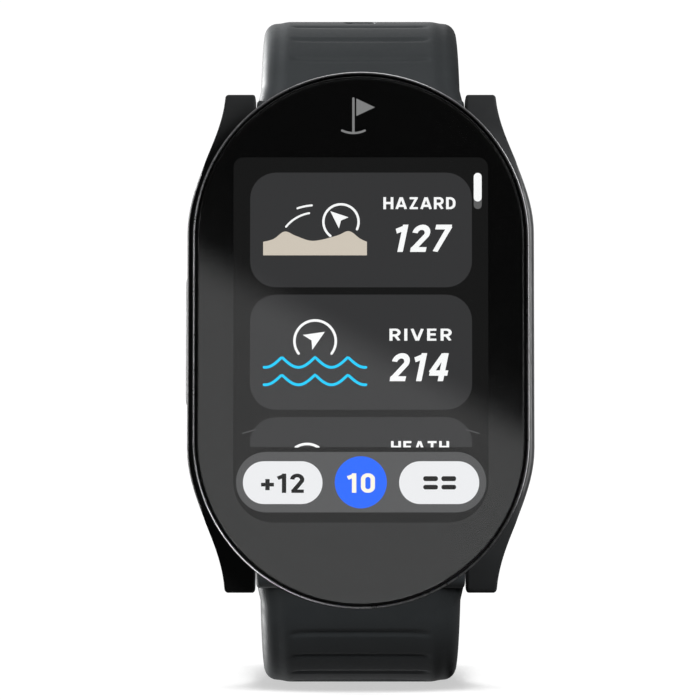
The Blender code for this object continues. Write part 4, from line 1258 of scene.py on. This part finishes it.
def buckle_end(band):
    """Barrel, bore and tongue notch at the upper strap's buckle end."""
    y, z, heading = strap_at(UPPER_LENGTH)
    half = STRAP_HALF_WIDTH[-1][1]
    carve(band, "UNION", turned_across(barrel(BUCKLE_BARREL, half, BUCKLE_BARREL_RIM), y, z, 40))
    cut(band, turned_across(through(BUCKLE_BORE, half), y, z))
    notch = block((-NOTCH_HALF_WIDTH, -NOTCH_DEPTH, -HOLE_REACH), (NOTCH_HALF_WIDTH, HOLE_REACH, HOLE_REACH))
    cut(band, placed(notch, strap_frame(UPPER_LENGTH, 1)))


def spring_bars():
    """Turned spring bars with their sliding release pins and domed levers."""
    flat, bevel = BAR_CHAMFER
    heights = [(i, rise - LEVER_REACH) for i, rise in LEVER_CROWN] + [(0.0, LEVER_ROOT)]
    for name, side in (("top", 1), ("bottom", -1)):
        y, z = BAR_Y, side * BAR_Z
        profile = [(PIN_NOSE, -PIN_REACH), (PIN_RADIUS, PIN_CHAMFER - PIN_REACH),
                   (PIN_RADIUS, -BAR_HALF_LENGTH), (BAR_RADIUS - flat, -BAR_HALF_LENGTH),
                   (BAR_RADIUS, bevel - BAR_HALF_LENGTH), (BAR_RADIUS, BAR_HALF_LENGTH - bevel),
                   (BAR_RADIUS - flat, BAR_HALF_LENGTH), (BAR_BORE, BAR_HALF_LENGTH),
                   (BAR_BORE, BAR_BORE_END)]
        bar = to_object(f"spring_bar_{name}_fine", turned_across(profile, y, z))
        cut(bar, lever_slot(side, *BAR_SLOT))
        settle(bar, "steel", f"strap_{name}", [f"spring_bar_{name}"])
        rod = [(PIN_RADIUS, PIN_START), (PIN_RADIUS, PIN_REACH - PIN_CHAMFER), (PIN_NOSE, PIN_REACH)]
        pin = to_object(f"release_pin_{name}_fine", turned_across(rod, y, z, 24))
        lever = loft([[(LEVER_X + a, b, n) for a, b in circle(LEVER_RADIUS - i, 24)] for i, n in heights])
        carve(pin, "UNION", placed(lever, strap_frame(0.0, side)))
        settle(pin, "steel", f"release_pin_{name}", [f"release_pin_{name}"])


# ---------------------------------------------------------------- buckle and keepers

def buckle():
    """Soft-edged buckle frame and tongue, and the bar they turn on."""
    y, z, heading = strap_at(UPPER_LENGTH)
    matrix = (Matrix.Translation((0.0, y, z))
              @ Matrix.Rotation(math.radians(heading + BUCKLE_LEAN), 4, "X"))
    end = FRAME_OUTER_X - BUCKLE_BAR_SETBACK
    shank = end - BUCKLE_BAR_BREAK
    nose = BUCKLE_BAR_RADIUS - BUCKLE_BAR_BREAK
    bar = [(nose, -end), (BUCKLE_BAR_RADIUS, -shank), (BUCKLE_BAR_RADIUS, shank), (nose, end)]
    piece("buckle_bar_fine", turned_across(bar, y, z), "steel", "strap_top", "steel", ["buckle_bar"])
    buckle_frame(y, z, matrix)
    buckle_tongue(y, z, matrix)


def buckle_frame(y, z, matrix):
    """Two round-ended arms joined by the front bar, drilled for the buckle bar."""
    large, small = FRAME_CORNERS
    outer = upper_corners(-FRAME_OUTER_X, FRAME_OUTER_X, FRAME_REACH, large, 12)
    inner = (arc(small - FRAME_INNER_X, FRAME_INNER_REACH - small, small, 180, 90, 8)
             + arc(FRAME_INNER_X - small, FRAME_INNER_REACH - small, small, 90, 0, 8))
    mid = (FRAME_OUTER_X + FRAME_INNER_X) / 2
    end_radius = (FRAME_OUTER_X - FRAME_INNER_X) / 2
    left_end = arc(-mid, end_radius - FRAME_BACK, end_radius, 180, 360, 10)
    right_end = arc(mid, end_radius - FRAME_BACK, end_radius, 180, 360, 10)
    body = slab(outer + left_end + inner + right_end, -FRAME_HALF_THICKNESS, FRAME_HALF_THICKNESS,
                FRAME_RIM, 4, lambda u, v, level: matrix @ Vector((u, v, level)))
    made = to_object("buckle_frame_fine", body)
    cut(made, turned_across(through(FRAME_BORE, FRAME_OUTER_X), y, z))
    settle(made, "buckle", "buckle_frame", ["buckle_frame"])


def buckle_tongue(y, z, matrix):
    """Tongue: an eye on the bar and an arm that rests over the frame's front bar."""
    side_view = smooth_path(TONGUE_SIDE, 3)[::-1]
    arm = slab(side_view, -TONGUE_HALF_WIDTH, TONGUE_HALF_WIDTH, TONGUE_RIM, 3,
               lambda t, n, level: matrix @ Vector((level, t, n)))
    tongue = to_object("buckle_tongue_fine", arm)
    eye = barrel(TONGUE_EYE, TONGUE_HALF_WIDTH, TONGUE_EYE_RIM, 3)
    carve(tongue, "UNION", turned_across(eye, y, z, 40))
    cut(tongue, turned_across(through(TONGUE_BORE, TONGUE_HALF_WIDTH), y, z))
    settle(tongue, "buckle", "buckle_tongue", ["buckle_tongue"])


def keeper(name, backset, body):
    """A moulded strap loop with soft rims."""
    middle = UPPER_LENGTH - backset
    half = KEEPER_LENGTH / 2
    walls = []
    for (half_x, half_n, centre), corner, way in zip((KEEPER_OUTER, KEEPER_INNER), KEEPER_CORNERS, (1, -1)):
        outline = rounded_rect(half_x, half_n, corner, 8, 0.0, centre)
        edge = [(inset(outline, way * i), way * (back - half)) for i, back in reversed(rim(KEEPER_RIM, 4))]
        edge += [(outline, way * half * t) for t in (-0.5, 0.0, 0.5)]
        edge += [(inset(outline, way * i), way * (half - back)) for i, back in rim(KEEPER_RIM, 4)]
        walls += [(loop, middle + along) for loop, along in edge]
    loops = [[strap_frame(s, 1) @ Vector((x, 0.0, n)) for x, n in outline] for outline, s in walls]
    piece(f"{name}_fine", loft(loops, ring=True), "strap", body, "strap", [name])


# ---------------------------------------------------------------- CAD nodes that stay

NODE_LOOKS = {
    "seal": ("glass_gasket", "back_gasket", "button_seal"),
    "screen": ("display_panel",),
    "flex": ("display_flex", "battery_tab", "charging_flex"),
    "tray": ("display_tray",),
    "screw": ("tray_screw_1", "tray_screw_2", "tray_screw_3", "tray_screw_4"),
    "board": ("main_board",),
    "shield": ("processor_shield", "gps_receiver", "haptic_motor"),
    "chip": ("memory_chip", "radio_module", "side_switch"),
    "antenna": ("gps_antenna",),
    "contact": ("buzzer",),
    "battery": ("battery",),
    "foam": ("battery_pad",),
    "steel": ("button_clip", "switch_plunger"),
}


def carried_over():
    """Give the hidden CAD nodes that stay their fine finishes."""
    for look, names in NODE_LOOKS.items():
        for name in names:
            data = frame["nodes"][name].data
            data.materials.clear()
            data.materials.append(LOOKS[look])


# ---------------------------------------------------------------- studio

UPPER, LOWER, LIP = ("strap_upper",), ("strap_lower",), ("bezel_ring_fine",)
FITTINGS = ("keeper_fixed_fine", "keeper_free_fine", "buckle_bar_fine", "buckle_frame_fine",
            "buckle_tongue_fine")
REAR = ("back_cover", *(f"back_screw_{number}_fine" for number in range(1, 5)),
        *(f"charging_pin_{number}" for number in range(1, 5)))
BODY = ("case_shell", "button_cap", *REAR)

# Lights: name, place, size, power, the pieces they light and the only pieces that shade them, if any
LIGHTS = (
    ("overhead", (0.05, 0.03, 0.62), (0.5, 0.5), 1.3, LIP),
    ("face", (0.24, -0.52, 0.20), (0.2, 0.2), 0.6, LIP),
    ("key", (-0.04, -0.54, 0.24), (0.4, 0.3), 2.7, UPPER),
    ("low", (0.10, -0.47, 0.28), (0.4, 0.2), 3.9, LOWER, LOWER),
    ("case", (0.40, -0.46, 0.13), (0.3, 0.3), 5.2, BODY),
    ("back", (-0.15, 0.60, 0.25), (0.4, 0.4), 4.0, (*FITTINGS, *REAR)),
    ("upper_strip", (-0.55, 0.10, 0.22), (0.10, 0.30), 2.8, (*UPPER, *FITTINGS)),
    ("upper_rim", (-0.45, 0.33, 0.22), (0.10, 0.30), 6.0, (*UPPER, *FITTINGS)),
    ("lower_strip", (-0.55, 0.10, -0.22), (0.10, 0.30), 1.3, LOWER, LOWER),
    ("lower_rim", (-0.45, 0.33, -0.22), (0.10, 0.30), 2.6, LOWER, LOWER),
    ("left_side", (-0.45, 0.33, 0.05), (0.10, 0.50), 3.8, BODY),
    ("right_rim", (0.50, 0.40, 0.10), (0.3, 0.6), 1.6, (*LIP, *BODY)),
)


def gather(name, members):
    """Collection of the named objects, for a light's links."""
    made = bpy.data.collections.new(name)
    for member in members:
        made.objects.link(bpy.data.objects[member])
    return made


def emitter(name, centre, size, power, only, blockers=()):
    """A soft area light that faces the watch and lights only the named objects."""
    light = bpy.data.lights.new(name, "AREA")
    light.shape = "RECTANGLE"
    light.size, light.size_y = size
    light.energy = power
    made = add_object(name, light)
    made.location = centre
    made.rotation_euler = (WATCH_MIDDLE - Vector(centre)).to_track_quat("-Z", "Y").to_euler()
    made.visible_camera = False
    made.light_linking.receiver_collection = gather(f"{name}_receivers", only)
    if blockers:
        made.light_linking.blocker_collection = gather(f"{name}_blockers", blockers)


def sheet(name, centre, half, up):
    """A square in metres, spanned by X and a second direction."""
    mesh = bmesh.new()
    sides = ((-1, -1), (1, -1), (1, 1), (-1, 1))
    mesh.faces.new([mesh.verts.new(Vector(centre) + Vector((a * half, 0.0, 0.0)) + Vector(up) * b * half)
                    for a, b in sides])
    return to_object(name, mesh, 1.0)


def leaning_fade(tree, coordinate, axis, slope, limits, kind="LINEAR"):
    """Socket that fades between two levels across a line that leans in an axis and Z."""
    place, split, lean, fade = (tree.nodes.new(f"ShaderNode{label}")
                                for label in ("TexCoord", "SeparateXYZ", "Math", "MapRange"))
    lean.operation = "MULTIPLY_ADD"
    lean.inputs[1].default_value = slope
    fade.interpolation_type = kind
    set_range(fade, limits)
    tree.links.new(place.outputs[coordinate], split.inputs["Vector"])
    tree.links.new(split.outputs[axis], lean.inputs[0])
    tree.links.new(split.outputs["Z"], lean.inputs[2])
    tree.links.new(lean.outputs["Value"], fade.inputs["Value"])
    return fade.outputs["Result"]


def floor():
    """A plain pale floor that reaches past the view on every side; its white glow is dimmed by ambient
    occlusion near the watch, a painted contact shadow.
    """
    made = sheet("floor", (0.0, 0.0, CAD_BOX[0].z), FLOOR_HALF_SIZE, (0.0, 1.0, 0.0))
    finish = Finish("floor_paper", (0.5, 0.5, 0.5), 0.9, Emission_Strength=FLOOR_GLOW)
    finish.set("Emission Color", (1.0, 1.0, 1.0, 1.0))
    finish.tint(finish.noise(40.0, 2.0), 0.995, 1.005)
    # Painted contact shadow: ambient occlusion near the watch dims the floor's glow
    shade = finish.node("ShaderNodeAmbientOcclusion", samples=8)
    shade.inputs["Distance"].default_value = FLOOR_SHADE_REACH
    shade.inputs["Normal"].default_value = FLOOR_SHADE_LEAN
    glow = finish.spread(shade.outputs["AO"], FLOOR_SHADE, FLOOR_GLOW, FLOOR_SHADE_SPAN)
    finish.link(glow, finish.shader.inputs["Emission Strength"])
    finish.set("Specular IOR Level", 0.0)
    made.data.materials.append(finish.material)
    made.visible_diffuse = False
    made.visible_glossy = False
    made.visible_transmission = False


def reflection_card():
    """A soft-edged lit card in front of the watch, seen only as the sheen across its glass."""
    made = sheet("sheen_card", SHEEN_CENTRE, SHEEN_HALF_SIZE, (0.0, 0.0, 1.0))
    made.visible_camera = False
    made.visible_diffuse = False
    made.visible_shadow = False
    material = bpy.data.materials.new("sheen_card_light")
    material.use_nodes = True
    tree = material.node_tree
    tree.nodes.clear()
    limits = (SHEEN_LINE + SHEEN_SOFTNESS, SHEEN_LINE - SHEEN_SOFTNESS, SHEEN_DARK, SHEEN_LIGHT)
    level = leaning_fade(tree, "Object", "X", SHEEN_SLOPE, limits, "SMOOTHSTEP")
    glow = tree.nodes.new("ShaderNodeEmission")
    tree.links.new(level, glow.inputs["Strength"])
    out = tree.nodes.new("ShaderNodeOutputMaterial")
    tree.links.new(glow.outputs["Emission"], out.inputs["Surface"])
    made.data.materials.append(material)


def world():
    """White to the camera; a light room behind the watch and a dark one in front to other rays."""
    made = bpy.data.worlds.new("studio")
    made.use_nodes = True
    tree = made.node_tree
    tree.nodes.clear()
    limits = (ROOM_START, ROOM_END, ROOM_AMBIENT, ROOM_LEVEL)
    level = leaning_fade(tree, "Generated", "Y", ROOM_LEAN, limits)
    room, sweep = (tree.nodes.new("ShaderNodeBackground") for _ in range(2))
    for background in (room, sweep):
        background.inputs["Color"].default_value = (1.0, 1.0, 1.0, 1.0)
    tree.links.new(level, room.inputs["Strength"])
    sweep.inputs["Strength"].default_value = SWEEP_LEVEL
    rays = tree.nodes.new("ShaderNodeLightPath")
    mix = tree.nodes.new("ShaderNodeMixShader")
    tree.links.new(rays.outputs["Is Camera Ray"], mix.inputs["Fac"])
    tree.links.new(room.outputs["Background"], mix.inputs[1])
    tree.links.new(sweep.outputs["Background"], mix.inputs[2])
    out = tree.nodes.new("ShaderNodeOutputWorld")
    tree.links.new(mix.outputs["Shader"], out.inputs["Surface"])
    bpy.context.scene.world = made


def studio():
    """Floor, lights, reflection card and world."""
    floor()
    reflection_card()
    world()
    for name, centre, size, power, *links in LIGHTS:
        emitter(f"{name}_softbox", centre, size, power, *links)


def camera():
    """A long lens almost level with the watch, looking straight at its face."""
    elevation = math.radians(CAMERA_ELEVATION)
    data = bpy.data.cameras.new("camera")
    data.sensor_width = SENSOR_WIDTH
    data.lens = LENS
    made = add_object("camera", data)
    away = Vector((0.0, -math.cos(elevation), math.sin(elevation)))
    made.location = CAMERA_TARGET + away * CAMERA_DISTANCE
    made.rotation_euler = (-away).to_track_quat("-Z", "Y").to_euler()
    bpy.context.scene.camera = made


def main():
    """Build every piece, then the studio round it."""
    mid_case()
    bezel()
    cover_glass()
    side_button()
    case_back()
    back_hardware()
    screen_picture()
    glowing_border_mark()
    strap("strap_upper", "strap_top", UPPER_LENGTH, 1, VENT_HOLES)
    strap("strap_lower", "strap_bottom", LOWER_LENGTH, -1, SIZING_HOLES)
    spring_bars()
    buckle()
    keeper("keeper_fixed", FIXED_KEEPER_BACKSET, "strap_top")
    keeper("keeper_free", FREE_KEEPER_BACKSET, "keeper_free")
    carried_over()
    camera()
    studio()
    bpy.context.scene.view_settings.view_transform = "Standard"
    bpy.context.scene.view_settings.look = "None"


main()
